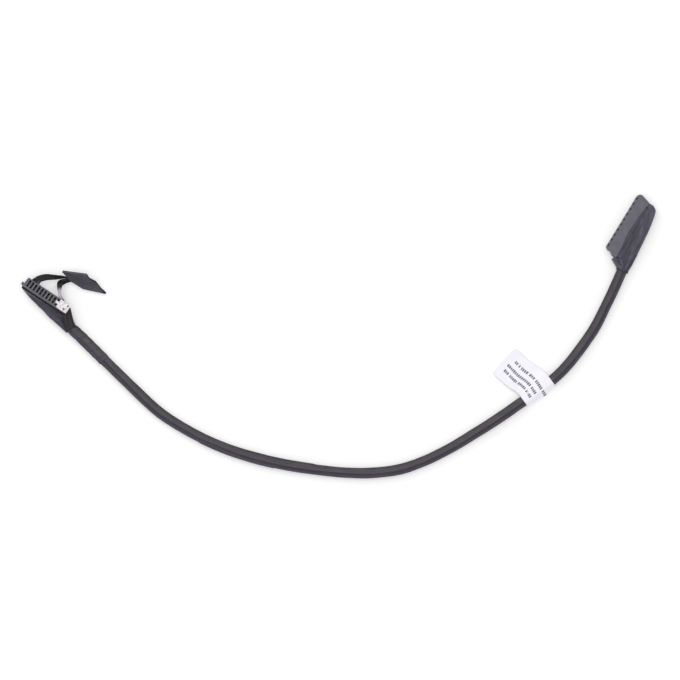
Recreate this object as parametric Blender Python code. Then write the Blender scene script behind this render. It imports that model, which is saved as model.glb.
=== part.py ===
"""Laptop battery cable: ten wires in a flattened sleeve, from a small board plug to a wider battery plug.

Metres, +Z up. The origin is the centre of the battery plug's underside. The cable lies on the plane z = 0.
"""

import math

import bmesh
import bpy
from mathutils import Matrix, Vector

# Wires: size, spacing in the bundle, and where the insulation is stripped
WIRE_OD = 0.00066
WIRE_GAP = 0.00009
TIP_OD = 0.00032
STRIP_STEP = 0.00006
WIRE_COLUMNS = (-1.5, -1.0, -1.0, -0.5, 0.0, 0.0, 0.5, 1.0, 1.0, 1.5)
WIRE_LEVELS = (0, 1, -1, 0, 1, -1, 0, 1, -1, 0)
WIRE_COUNT = len(WIRE_COLUMNS)
WIRE_PITCH = WIRE_OD + WIRE_GAP
LEVEL_PITCH = WIRE_PITCH * math.sqrt(3) / 2
FAN_STEPS = 8

# Sleeve: a thin tube drawn flat round the bundle
SLEEVE_WALL = 0.0003
SLEEVE_CLEARANCE = 0.00008
SLEEVE_INNER_HALF_WIDTH = 1.5 * WIRE_PITCH + WIRE_OD / 2 + SLEEVE_CLEARANCE
SLEEVE_INNER_HALF_HEIGHT = LEVEL_PITCH + WIRE_OD / 2 + SLEEVE_CLEARANCE
SLEEVE_INNER_CORNER = 0.0010
SLEEVE_HALF_WIDTH = SLEEVE_INNER_HALF_WIDTH + SLEEVE_WALL
SLEEVE_HALF_HEIGHT = SLEEVE_INNER_HALF_HEIGHT + SLEEVE_WALL
SLEEVE_CORNER = SLEEVE_INNER_CORNER + SLEEVE_WALL
STATION_SPACING = 0.0096
CORNER_STEPS = 4

# Route of the sleeve's middle on the table, from the board end to the battery end
ROUTE = (
    (-0.1869, -0.0329),
    (-0.1828, -0.0365),
    (-0.1759, -0.0433),
    (-0.1670, -0.0520),
    (-0.1577, -0.0608),
    (-0.1508, -0.0657),
    (-0.1424, -0.0704),
    (-0.1341, -0.0740),
    (-0.1259, -0.0767),
    (-0.1176, -0.0788),
    (-0.1094, -0.0803),
    (-0.1011, -0.0814),
    (-0.0928, -0.0821),
    (-0.0844, -0.0820),
    (-0.0759, -0.0808),
    (-0.0674, -0.0778),
    (-0.0592, -0.0737),
    (-0.0511, -0.0688),
    (-0.0430, -0.0636),
    (-0.0368, -0.0593),
    (-0.0305, -0.0548),
    (-0.0247, -0.0504),
    (-0.0200, -0.0456),
    (-0.0155, -0.0398),
    (-0.0112, -0.0334),
    (-0.0079, -0.0268),
    (-0.0051, -0.0210),
    (-0.0019, -0.0136),
)
ROUTE_STEPS = 24
WRAPPED_LIFT = 0.00045
LIFT_RUN = 0.018

# Cloth tape round the wires behind each plug
TAPE_WALL = 0.00025
TAPE_CLEARANCE = 0.0001
TAPE_ON_SLEEVE = 0.0015
TAPE_OVERLAP = 0.0014
TAPE_SPACER = TAPE_CLEARANCE + TAPE_WALL
TAPE_CORNER = 0.0004
FAN_RINGS = 7
FAN_REACH = 0.05

# The battery plug's tape in plan: its near and far edge as places along the row and depths behind the mating edge
BATTERY_TAPE_EDGES = (
    ((-0.0117, 0.0062), (0.0097, 0.0068)),
    ((-0.0120, 0.0062), (0.0088, 0.0079)),
    ((-0.0122, 0.0062), (0.0058, 0.0087)),
    ((-0.0124, 0.0062), (0.0024, 0.0093)),
    ((-0.0126, 0.0062), (-0.0010, 0.0097)),
    ((-0.0127, 0.0062), (-0.0052, 0.0101)),
    ((-0.0128, 0.0062), (-0.0092, 0.0105)),
)

# How far the nearest and the farthest wire reach before they turn, at the plug and at the sleeve,
# how the wires between them share that, and how far the layers part on the way
BOARD_BEND = (0.00066, 0.0029)
BOARD_RUN = (0.0068, 0.0030)
BOARD_EASE = (0.94, 1.365)
BOARD_LAYERS = (1.9, 1.5)
BATTERY_BEND = (0.00096, 0.00252)
BATTERY_RUN = (0.00268, 0.0020)
BATTERY_EASE = (0.826, 0.679)
BATTERY_LAYERS = (1.9, 1.6)

# Battery plug
BATTERY_PITCH = 0.0020
BATTERY_END_WALL = 0.00095
BATTERY_DEPTH = 0.0060
BATTERY_HEIGHT = 0.0040
BATTERY_TURN = math.radians(58.6)
BATTERY_CAVITY_WIDTH = 0.0013
BATTERY_CAVITY_HEIGHT = 0.0024
BATTERY_REAR_WALL = 0.0014
BATTERY_NOTCH_WIDTH = 0.0007
BATTERY_NOTCH_DEPTH = 0.0006
BATTERY_KEY_STEP = 0.0007
BATTERY_KEY_GROOVE = 0.00025
BATTERY_NOSE = 0.0010
BATTERY_CONTACT_WIDTH = 0.0011
BATTERY_CONTACT_HEIGHT = 0.0018
BATTERY_CONTACT_SHEET = 0.00015
BATTERY_CONTACT_RECESS = 0.0007

# Board plug
BOARD_PITCH = 0.00125
BOARD_WIDTH = 0.0166
BOARD_THICKNESS = 0.0034
BOARD_DEPTH = 0.0036
BOARD_END_WALL = 0.0012
BOARD_FACE_CENTRE = (-0.1934, -0.0230, 0.0066)
BOARD_TURN = math.radians(-33.7)
BOARD_TILT = math.radians(18)
BOARD_CAVITY_WIDTH = 0.00066
BOARD_CAVITY_HEIGHT = 0.0024
BOARD_REAR_WALL = 0.0010
BOARD_RAIL_DEPTH = 0.0009
BOARD_RAIL_STEP = 0.0002
BOARD_EAR = (0.0010, 0.0009, 0.0010)
BOARD_CONTACT_WIDTH = 0.00056
BOARD_CONTACT_HEIGHT = 0.0012
BOARD_CONTACT_SHEET = 0.00009
BOARD_CONTACT_RECESS = 0.0012

# Stamped steel plate at one end of the board plug
PLATE_LENGTH = 0.0036
PLATE_SHEET = 0.00022
PLATE_GAP = 0.00006
PLATE_SIDE_MARGIN = 0.0001
PLATE_FLANGE = 0.0015
PLATE_TONGUE = (0.0011, 0.0009)
PLATE_WINDOW = (0.0007, 0.00045)

# Fits shared by both plugs
BORE_EXIT = 0.0003
BORE_CLEARANCE = 0.00012
BORE_SIDES = 12
CONTACT_GAP = 0.0001
CHANNEL_CAP = ((1, 2, 3, 4), (0, 1, 4, 5), (0, 5, 6, 7))
TIP_GAP = 0.00003
EDGE_BEVEL = 0.00012

# Label folded round the sleeve with its ends stuck together as a flag
LABEL_WIDTH = 0.0115
LABEL_TAIL = 0.0132
LABEL_SHEET = 0.00016
LABEL_CLEARANCE = 0.0001
LABEL_TURN = math.radians(12)
LABEL_PLACE = 0.1794
LABEL_TAIL_END_HEIGHT = 0.0004
LABEL_STATIONS = 5

# Turns of tape on the sleeve next to the board end
WRAP_START = 0.0024
WRAP_TURN = 0.0029
WRAP_TURNS = 5
WRAP_SHEET = 0.00012
WRAP_STEP = 0.00014
WRAP_CLEARANCE = 0.00005

# Pull strap: a film ribbon glued by both ends to the far side of the board plug
STRAP_WIDTH = 0.0026
STRAP_SHEET = 0.00014
STRAP_SEAT_GAP = 0.0001
STRAP_LEFT_SEAT = -0.0053
STRAP_LEFT_BACKS = (0.0020, 0.0009)
STRAP_LEFT_LIP = (-0.0004, -0.0021)
STRAP_RIGHT_SEATS = (0.0080, 0.0068)
STRAP_RIGHT_BACK = 0.0007
STRAP_SMOOTHING = 3

# Each arm's middle line from the board plug's face centre, with the direction of the ribbon's width
STRAP_LEFT_ARM = (
    ((-0.0023, 0.0058, -0.0015), (-0.36, 0.59, 0.66)),
    ((-0.0004, 0.0056, -0.0017), (-0.32, 0.57, 0.75)),
    ((0.0022, 0.0056, -0.0032), (0.07, 0.58, 0.90)),
    ((0.0040, 0.0058, -0.0042), (0.13, 0.47, 0.88)),
)
STRAP_RIGHT_ARM = (
    ((0.0051, -0.0006, -0.0014), (0.58, 0.20, 1.10)),
    ((0.0042, 0.0013, -0.0020), (0.62, 0.19, 0.68)),
    ((0.0041, 0.0022, -0.0023), (0.55, 0.20, 0.46)),
    ((0.0040, 0.0035, -0.0030), (0.50, 0.70, 0.68)),
    ((0.0050, 0.0046, -0.0041), (0.18, 0.71, 0.72)),
)

# Pull tab: tape folded over the strap's bend; corners in plan from the board plug's face centre
TAB_CORNERS = (
    (0.0050, 0.0080),
    (0.0131, 0.0069),
    (0.0139, 0.0056),
    (0.0160, 0.0045),
    (0.0176, 0.0023),
    (0.0193, 0.0007),
    (0.0116, 0.0024),
    (0.0077, 0.0049),
)
TAB_TOP = -0.0026
TAB_SLOPE = (0.362, 1.034)
TAB_SHEET = 0.00016
TAB_CLEARANCE = 0.00006
TAB_FOLD = 0.0003
STRAP_IN_TAB = ((0.0062, 0.0055), (0.0120, 0.0043))
STRAP_PLY_GAP = 0.00012
STRAP_BEND_STEPS = 4

UP = Vector((0, 0, 1))


def clear_scene():
    """Removes whatever the file opened with."""
    for old in list(bpy.data.objects):
        bpy.data.objects.remove(old, do_unlink=True)


def material(name, colour, roughness, metallic=0.0):
    """A plain Principled material."""
    made = bpy.data.materials.new(name)
    made.use_nodes = True
    shader = made.node_tree.nodes["Principled BSDF"]
    shader.inputs["Base Color"].default_value = (*colour, 1)
    shader.inputs["Roughness"].default_value = roughness
    shader.inputs["Metallic"].default_value = metallic
    return made


def link_object(name, data, finish):
    """Puts new geometry in the scene with its own material."""
    data.materials.append(finish)
    made = bpy.data.objects.new(name, data)
    bpy.context.scene.collection.objects.link(made)
    return made


def mesh_from(name, bm, smooth_angle):
    """Writes a bmesh to a mesh, faces outwards."""
    bmesh.ops.recalc_face_normals(bm, faces=bm.faces)
    mesh = bpy.data.meshes.new(name)
    bm.to_mesh(mesh)
    bm.free()
    if smooth_angle is not None:
        mesh.shade_smooth()
        mesh.set_sharp_from_angle(angle=smooth_angle)
    return mesh


def cutter(name, bm, matrix):
    """A tool shape for a Boolean, hidden from renders."""
    made = bpy.data.objects.new(name, mesh_from(name, bm, None))
    made.matrix_world = matrix
    made.hide_render = True
    made.display_type = "WIRE"
    bpy.context.scene.collection.objects.link(made)
    return made


def boolean(target, tool, operation="DIFFERENCE"):
    """Cuts or joins one shape with another."""
    change = target.modifiers.new(tool.name, "BOOLEAN")
    change.object = tool
    change.operation = operation
    change.solver = "EXACT"


def add_box(bm, low, high):
    """A box between two corners."""
    size = [b - a for a, b in zip(low, high)]
    middle = [(a + b) / 2 for a, b in zip(low, high)]
    scale = Matrix.Diagonal((*size, 1))
    bmesh.ops.create_cube(bm, size=1, matrix=Matrix.Translation(middle) @ scale)


def add_prism(bm, outline, axis, low, high):
    """An outline pushed along one local axis; the outline gives the other two coordinates in order."""
    def corner(pair, level):
        values = list(pair)
        values.insert(axis, level)
        return bm.verts.new(values)

    bottom = [corner(pair, low) for pair in outline]
    top = [corner(pair, high) for pair in outline]
    bm.faces.new(bottom)
    bm.faces.new(list(reversed(top)))
    for i in range(len(outline)):
        j = (i + 1) % len(outline)
        bm.faces.new((bottom[i], bottom[j], top[j], top[i]))


def add_lofted_faces(bm, rings):
    """Side faces between matching rings of points; returns the rings' corners."""
    made = [[bm.verts.new(point) for point in ring] for ring in rings]
    count = len(made[0])
    for low, high in zip(made, made[1:]):
        for i in range(count):
            j = (i + 1) % count
            bm.faces.new((low[i], low[j], high[j], high[i]))
    return made


def solid_loft(name, rings, finish, smooth_angle=math.radians(40)):
    """A solid through matching rings, closed at both ends."""
    bm = bmesh.new()
    made = add_lofted_faces(bm, rings)
    bm.faces.new(made[0])
    bm.faces.new(list(reversed(made[-1])))
    bmesh.ops.triangulate(bm, faces=bm.faces)
    return link_object(name, mesh_from(name, bm, smooth_angle), finish)


def hollow_loft(name, outer_rings, inner_rings, finish):
    """A tube with a wall, through matching outer and inner rings, open at both ends."""
    bm = bmesh.new()
    outer = add_lofted_faces(bm, outer_rings)
    inner = add_lofted_faces(bm, inner_rings)
    count = len(outer[0])
    for end in (0, -1):
        for i in range(count):
            j = (i + 1) % count
            bm.faces.new((outer[end][i], outer[end][j], inner[end][j], inner[end][i]))
    bmesh.ops.triangulate(bm, faces=bm.faces)
    return link_object(name, mesh_from(name, bm, math.radians(40)), finish)


def rounded_section(half_width, half_height, corner):
    """Points of a rounded rectangle, as pairs across and up."""
    corner = min(corner, half_width, half_height)
    points = []
    for quarter, (sign_x, sign_y) in enumerate(((1, 1), (-1, 1), (-1, -1), (1, -1))):
        for step in range(CORNER_STEPS):
            angle = math.pi / 2 * (quarter + step / (CORNER_STEPS - 1))
            across = sign_x * (half_width - corner) + corner * math.cos(angle)
            up = sign_y * (half_height - corner) + corner * math.sin(angle)
            points.append((across, up))
    return points


def place_section(section, centre, across, up):
    """A flat section set in space."""
    return [centre + across * x + up * y for x, y in section]


def smooth_step(share):
    """Eases from 0 to 1."""
    share = min(max(share, 0.0), 1.0)
    return share * share * (3 - 2 * share)


def catmull_rom(points, position):
    """Point on a smooth curve through the points; position counts in points."""
    index = min(int(position), len(points) - 2)
    t = position - index
    before = points[max(index - 1, 0)]
    start = points[index]
    end = points[index + 1]
    after = points[min(index + 2, len(points) - 1)]
    bend = 2 * before - 5 * start + 4 * end - after
    swing = 3 * start - before - 3 * end + after
    return 0.5 * (2 * start + (end - before) * t + bend * t * t + swing * t * t * t)


class Route:
    """The sleeve's middle line, straight between even stations, read by distance from the board end."""

    def __init__(self):
        points = [Vector((x, y, 0)) for x, y in ROUTE]
        steps = ROUTE_STEPS * (len(points) - 1)
        line = [catmull_rom(points, i / ROUTE_STEPS) for i in range(steps + 1)]
        marks = [0.0]
        for before, after in zip(line, line[1:]):
            marks.append(marks[-1] + (after - before).length)
        self.length = marks[-1]
        self.count = round(self.length / STATION_SPACING)
        self.points = []
        self.travels = []
        index = 1
        for place in self.stations(0, self.length, STATION_SPACING):
            while index < len(marks) - 1 and marks[index] < place:
                index += 1
            share = (place - marks[index - 1]) / (marks[index] - marks[index - 1])
            point = line[index - 1].lerp(line[index], share)
            point.z = SLEEVE_HALF_HEIGHT + self.lift(place)
            self.points.append(point)
            self.travels.append((line[index] - line[index - 1]).normalized())

    def lift(self, place):
        """Height of the sleeve over the table, raised where tape or the label goes round it."""
        wrap_end = WRAP_START + WRAP_TURNS * WRAP_TURN
        label_low = LABEL_PLACE - LABEL_WIDTH / 2
        label_high = LABEL_PLACE + LABEL_WIDTH / 2
        wrapped = ((0.0, wrap_end), (label_low, label_high), (self.length - TAPE_ON_SLEEVE, self.length))
        nearest = min(max(low - place, place - high, 0.0) for low, high in wrapped)
        nearest = max(nearest - STATION_SPACING, 0.0)
        return WRAPPED_LIFT * (1 - smooth_step(nearest / LIFT_RUN))

    def blend(self, values, place):
        """Value at a place, straight between the stations on either side."""
        position = min(max(place / self.length, 0.0), 1.0) * self.count
        index = min(int(position), self.count - 1)
        return values[index].lerp(values[index + 1], position - index)

    def point(self, place):
        """Middle of the sleeve in space."""
        return self.blend(self.points, place)

    def axes(self, place):
        """Direction of travel and right-hand side."""
        travel = self.blend(self.travels, place).normalized()
        return travel, travel.cross(UP)

    def stations(self, low, high, spacing):
        """Even places along a stretch of the line."""
        count = max(round((high - low) / spacing), 1)
        return [low + (high - low) * i / count for i in range(count + 1)]

    def wire_point(self, place, column, level):
        """Middle of one wire inside the sleeve."""
        side = self.axes(place)[1]
        return self.point(place) + side * (column * WIRE_PITCH) + UP * (level * LEVEL_PITCH)

    def section_at(self, section, place):
        """A section across the line."""
        return place_section(section, self.point(place), self.axes(place)[1], UP)


class Plug:
    """One plug's axes: x along its row of contacts, y towards its mate, z up from the row."""

    def __init__(self, origin, row, mate, depth, rear_wall, pitch, first, row_sign):
        self.origin = origin
        self.row = row
        self.mate = mate
        self.up = row.cross(mate)
        self.depth = depth
        self.rear_wall = rear_wall
        self.pitch = pitch
        self.first = first
        self.row_sign = row_sign

    def contact_x(self, rank):
        """Place along the row of one wire's contact; rank 0 is nearest to the cable."""
        return self.first + self.row_sign * self.pitch * rank

    def at(self, x, back, z=0.0):
        """Point in space by local x, distance behind the mating face, and local z."""
        return self.origin + self.row * x - self.mate * back + self.up * z

    def matrix(self):
        """The plug's local axes as a world matrix, origin in the middle of the mating face."""
        columns = (self.row, self.mate, self.up)
        turned = Matrix([[column[r] for column in columns] for r in range(3)]).to_4x4()
        return Matrix.Translation(self.origin) @ turned


def battery_plug():
    """The battery plug lies flat with its underside centred on the origin."""
    row = Vector((math.cos(BATTERY_TURN), math.sin(BATTERY_TURN), 0))
    mate = Vector((-math.sin(BATTERY_TURN), math.cos(BATTERY_TURN), 0))
    origin = mate * (BATTERY_DEPTH / 2) + UP * (BATTERY_HEIGHT / 2)
    first = -BATTERY_PITCH * (WIRE_COUNT - 1) / 2
    return Plug(origin, row, mate, BATTERY_DEPTH, BATTERY_REAR_WALL, BATTERY_PITCH, first, 1)


def board_plug():
    """The board plug stands on its wires with its mating face tipped up."""
    row = Vector((math.cos(BOARD_TURN), math.sin(BOARD_TURN), 0))
    away = Vector((-math.sin(BOARD_TURN), math.cos(BOARD_TURN), 0))
    mate = UP * math.cos(BOARD_TILT) + away * math.sin(BOARD_TILT)
    first = -BOARD_WIDTH / 2 + BOARD_END_WALL + BOARD_PITCH * (WIRE_COUNT - 1)
    return Plug(Vector(BOARD_FACE_CENTRE), row, mate, BOARD_DEPTH, BOARD_REAR_WALL, BOARD_PITCH, first, -1)


class Fan:
    """How the wires spread from the sleeve's mouth to one plug's bores."""

    def __init__(self, plug, route, place, travel_sign, bend_reach, run_reach, ease, layers):
        travel, side = route.axes(place)
        self.plug = plug
        self.mouth = route.point(place)
        self.leave = travel * travel_sign
        self.side = side
        self.bend_reach = bend_reach
        self.run_reach = run_reach
        self.ease = ease
        self.layers = layers

    def point(self, rank, column, level, t):
        """Point of one wire; t runs from the plug's rear face to the sleeve's mouth."""
        share = rank / (WIRE_COUNT - 1)
        layer = level * LEVEL_PITCH
        bend = self.bend_reach[0] + (self.bend_reach[1] - self.bend_reach[0]) * share ** self.ease[0]
        run = self.run_reach[0] + (self.run_reach[1] - self.run_reach[0]) * share ** self.ease[1]
        start = self.plug.at(self.plug.contact_x(rank), self.plug.depth + BORE_EXIT)
        knee = start - self.plug.mate * bend + self.plug.up * (layer * self.layers[0])
        end = self.mouth + self.side * (column * WIRE_PITCH) + UP * layer
        lead = end + self.leave * run + UP * (layer * (self.layers[1] - 1))
        rest = 1 - t
        return start * rest ** 3 + knee * (3 * rest * rest * t) + lead * (3 * rest * t * t) + end * t ** 3

    def row_ends(self, t):
        """Nearest and farthest wire at t, both at the middle level."""
        near = self.point(0, WIRE_COLUMNS[0], 0, t)
        far = self.point(WIRE_COUNT - 1, WIRE_COLUMNS[-1], 0, t)
        return near, far


def make_fans(board, battery, route):
    """The spread of wires at the board end and at the battery end."""
    board_fan = Fan(board, route, 0.0, -1, BOARD_BEND, BOARD_RUN, BOARD_EASE, BOARD_LAYERS)
    battery_fan = Fan(battery, route, route.length, 1, BATTERY_BEND, BATTERY_RUN, BATTERY_EASE, BATTERY_LAYERS)
    return board_fan, battery_fan


def tip_points(plug, rank, reach):
    """Stripped end of a wire in its plug, from the tip outwards, each with its relative radius."""
    x = plug.contact_x(rank)
    bare = TIP_OD / WIRE_OD
    strip = plug.depth - plug.rear_wall
    return [
        (plug.at(x, strip - reach), bare),
        (plug.at(x, strip), bare),
        (plug.at(x, strip + STRIP_STEP), 1.0),
    ]


def build_wire(rank, route, plugs, fans, reaches, finish):
    """One whole wire from its board contact to its battery contact."""
    column = WIRE_COLUMNS[rank]
    level = WIRE_LEVELS[rank]
    fan_places = [step / FAN_STEPS for step in range(FAN_STEPS)]
    points = tip_points(plugs[0], rank, reaches[0])
    points += [(fans[0].point(rank, column, level, t), 1.0) for t in fan_places]
    for place in route.stations(0, route.length, STATION_SPACING):
        points.append((route.wire_point(place, column, level), 1.0))
    points += [(fans[1].point(rank, column, level, t), 1.0) for t in reversed(fan_places)]
    points += reversed(tip_points(plugs[1], rank, reaches[1]))

    name = f"wire_{rank + 1:02d}"
    curve = bpy.data.curves.new(name, "CURVE")
    curve.dimensions = "3D"
    curve.bevel_depth = WIRE_OD / 2
    curve.bevel_resolution = 2
    curve.use_fill_caps = True
    spline = curve.splines.new("POLY")
    spline.points.add(len(points) - 1)
    for slot, (point, radius) in zip(spline.points, points):
        slot.co = (*point, 1)
        slot.radius = radius
    return link_object(name, curve, finish)


def build_sleeve(route, finish):
    """The hollow sleeve round the bundle."""
    outer = rounded_section(SLEEVE_HALF_WIDTH, SLEEVE_HALF_HEIGHT, SLEEVE_CORNER)
    inner = rounded_section(SLEEVE_INNER_HALF_WIDTH, SLEEVE_INNER_HALF_HEIGHT, SLEEVE_INNER_CORNER)
    places = route.stations(0, route.length, STATION_SPACING)
    outer_rings = [route.section_at(outer, place) for place in places]
    inner_rings = [route.section_at(inner, place) for place in places]
    return hollow_loft("sleeve", outer_rings, inner_rings, finish)


def fan_frames(fan, low, high, half_height):
    """Centre, width axis, up axis, half width and half height of the tape's rings, plug to mouth."""
    plug = fan.plug
    middle = (low + high) / 2
    across = plug.row * plug.row_sign
    frames = []
    for back in (plug.depth - TAPE_OVERLAP + TAPE_CLEARANCE, plug.depth + TAPE_CLEARANCE):
        frames.append((plug.at(middle, back), across, plug.up, (high - low) / 2, half_height))

    row_low = plug.contact_x(0)
    row_high = plug.contact_x(WIRE_COUNT - 1)
    plug_margin = (high - low - abs(row_high - row_low)) / 2
    sleeve_margin = SLEEVE_HALF_WIDTH + TAPE_SPACER - WIRE_COLUMNS[-1] * WIRE_PITCH
    offset = (middle - (row_low + row_high) / 2) * plug.row_sign
    for step in range(1, FAN_RINGS + 1):
        t = step / FAN_RINGS
        plug_share = (1 - t) ** 2
        near, far = fan.row_ends(t)
        width_axis = (far - near).normalized()
        before = fan.row_ends(t - FAN_REACH)
        after = fan.row_ends(min(t + FAN_REACH, 1))
        heading = after[0] + after[1] - before[0] - before[1]
        turned = width_axis.cross(heading).normalized()
        if turned.dot(plug.up) < 0:
            turned = -turned
        up = plug.up.lerp(turned, smooth_step(t)).normalized()
        centre = (near + far) / 2 + width_axis * (offset * plug_share)
        half_width = (far - near).length / 2
        half_width += plug_margin * plug_share + sleeve_margin * (1 - plug_share)
        half_up = half_height * plug_share + (SLEEVE_HALF_HEIGHT + TAPE_SPACER) * (1 - plug_share)
        frames.append((centre, width_axis, up, half_width, half_up))
    return frames


def plan_frames(fan, low, high, half_height):
    """The same rings for tape that lies flat, spread between its two edges in plan."""
    plug = fan.plug
    middle = (low + high) / 2
    frames = []
    for back in (plug.depth - TAPE_OVERLAP + TAPE_CLEARANCE, plug.depth + TAPE_CLEARANCE):
        frames.append((plug.at(middle, back), plug.row, UP, (high - low) / 2, half_height))
    mouth_half_height = SLEEVE_HALF_HEIGHT + TAPE_SPACER
    for step, (near, far) in enumerate(BATTERY_TAPE_EDGES):
        share = (step + 1) / (len(BATTERY_TAPE_EDGES) + 1)
        near_point = plug.at(*near)
        far_point = plug.at(*far)
        centre = (near_point + far_point) / 2
        centre.z += (fan.mouth.z - centre.z) * share
        half_up = half_height + (mouth_half_height - half_height) * share
        width = far_point - near_point
        frames.append((centre, width.normalized(), UP, width.length / 2, half_up))
    frames.append((fan.mouth, fan.side, UP, SLEEVE_HALF_WIDTH + TAPE_SPACER, mouth_half_height))
    return frames


def build_tape(name, frames, route, on_sleeve, finish):
    """Tape from the plug's rear over the spread wires and on to the sleeve."""
    frames.append((
        route.point(on_sleeve),
        route.axes(on_sleeve)[1],
        UP,
        SLEEVE_HALF_WIDTH + TAPE_SPACER,
        SLEEVE_HALF_HEIGHT + TAPE_SPACER,
    ))
    outer = []
    inner = []
    for index, (centre, width_axis, up, half_width, half_up) in enumerate(frames):
        share = smooth_step((index - 1) / (len(frames) - 2))
        corner = TAPE_CORNER + (SLEEVE_CORNER + TAPE_SPACER - TAPE_CORNER) * share
        outer_section = rounded_section(half_width, half_up, corner)
        inner_section = rounded_section(half_width - TAPE_WALL, half_up - TAPE_WALL, corner - TAPE_WALL)
        outer.append(place_section(outer_section, centre, width_axis, up))
        inner.append(place_section(inner_section, centre, width_axis, up))
    return hollow_loft(name, outer, inner, finish)


def cut_contacts(housing, plug, cavity_width, cavity_height):
    """Ten cavities open to the mate, each with a bore for its wire through the rear wall."""
    cavities = bmesh.new()
    bores = bmesh.new()
    floor = plug.depth - plug.rear_wall
    bore_radius = WIRE_OD / 2 + BORE_CLEARANCE
    quarter = Matrix.Rotation(math.pi / 2, 4, "X")
    for rank in range(WIRE_COUNT):
        x = plug.contact_x(rank)
        low = (x - cavity_width / 2, -floor, -cavity_height / 2)
        high = (x + cavity_width / 2, plug.rear_wall, cavity_height / 2)
        add_box(cavities, low, high)
        place = Matrix.Translation((x, -floor - plug.rear_wall / 2, 0)) @ quarter
        bmesh.ops.create_cone(
            bores,
            cap_ends=True,
            segments=BORE_SIDES,
            radius1=bore_radius,
            radius2=bore_radius,
            depth=2 * plug.rear_wall,
            matrix=place,
        )
    boolean(housing, cutter(f"{housing.name}_cavities", cavities, plug.matrix()))
    boolean(housing, cutter(f"{housing.name}_bores", bores, plug.matrix()))


def bevelled_prism(name, outline, axis, low, high, plug, finish):
    """An outline pushed along a local axis of a plug, with small chamfers on its edges."""
    bm = bmesh.new()
    add_prism(bm, outline, axis, low, high)
    bmesh.ops.recalc_face_normals(bm, faces=bm.faces)
    bmesh.ops.bevel(bm, geom=bm.edges, offset=EDGE_BEVEL, segments=1, affect="EDGES")
    made = link_object(name, mesh_from(name, bm, None), finish)
    made.matrix_world = plug.matrix()
    return made


def battery_outline():
    """Half widths of the battery housing: mating edge, keyed near end and rounded far end."""
    near = -BATTERY_PITCH * (WIRE_COUNT - 1) / 2 - BATTERY_END_WALL
    far = -near
    step_back = BATTERY_DEPTH * 0.22
    land = BATTERY_DEPTH - TAPE_OVERLAP
    outline = [
        (near, 0),
        (near - BATTERY_KEY_STEP, -step_back),
        (near - BATTERY_KEY_STEP + BATTERY_KEY_GROOVE, -step_back - BATTERY_KEY_GROOVE),
        (near - BATTERY_KEY_STEP + BATTERY_KEY_GROOVE, -step_back - 2 * BATTERY_KEY_GROOVE),
        (near - 2 * BATTERY_KEY_STEP, -land + 2 * BATTERY_KEY_STEP),
        (near - 2 * BATTERY_KEY_STEP, -land),
        (near - 2 * BATTERY_KEY_STEP + TAPE_SPACER, -land),
        (near - 2 * BATTERY_KEY_STEP + TAPE_SPACER, -BATTERY_DEPTH),
        (far - TAPE_SPACER, -BATTERY_DEPTH),
        (far - TAPE_SPACER, -land),
        (far, -land),
        (far + BATTERY_NOSE, -step_back),
    ]
    for step in (1, 2, 3):
        angle = math.pi / 8 * step
        reach = BATTERY_NOSE * math.cos(angle)
        outline.append((far + reach, -step_back + step_back * math.sin(angle)))
    outline.append((far, 0))
    return outline


def build_battery_housing(plug, finish):
    """Flat housing with ten cavities, notches over them, and a lower land for the tape."""
    half = BATTERY_HEIGHT / 2
    housing = bevelled_prism("battery_housing", battery_outline(), 2, -half, half, plug, finish)
    cut_contacts(housing, plug, BATTERY_CAVITY_WIDTH, BATTERY_CAVITY_HEIGHT)

    notches = bmesh.new()
    for rank in range(WIRE_COUNT):
        x = plug.contact_x(rank)
        low = (x - BATTERY_NOTCH_WIDTH / 2, -BATTERY_NOTCH_DEPTH, 0)
        high = (x + BATTERY_NOTCH_WIDTH / 2, BATTERY_NOTCH_DEPTH, BATTERY_HEIGHT)
        add_box(notches, low, high)
    boolean(housing, cutter("battery_housing_notches", notches, plug.matrix()))

    lands = bmesh.new()
    reach = BATTERY_PITCH * WIRE_COUNT
    rear = -2 * BATTERY_DEPTH
    front = -BATTERY_DEPTH + TAPE_OVERLAP
    add_box(lands, (-reach, rear, half - TAPE_SPACER), (reach, front, 2 * half))
    add_box(lands, (-reach, rear, -2 * half), (reach, front, TAPE_SPACER - half))
    boolean(housing, cutter("battery_housing_lands", lands, plug.matrix()))
    return housing


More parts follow.
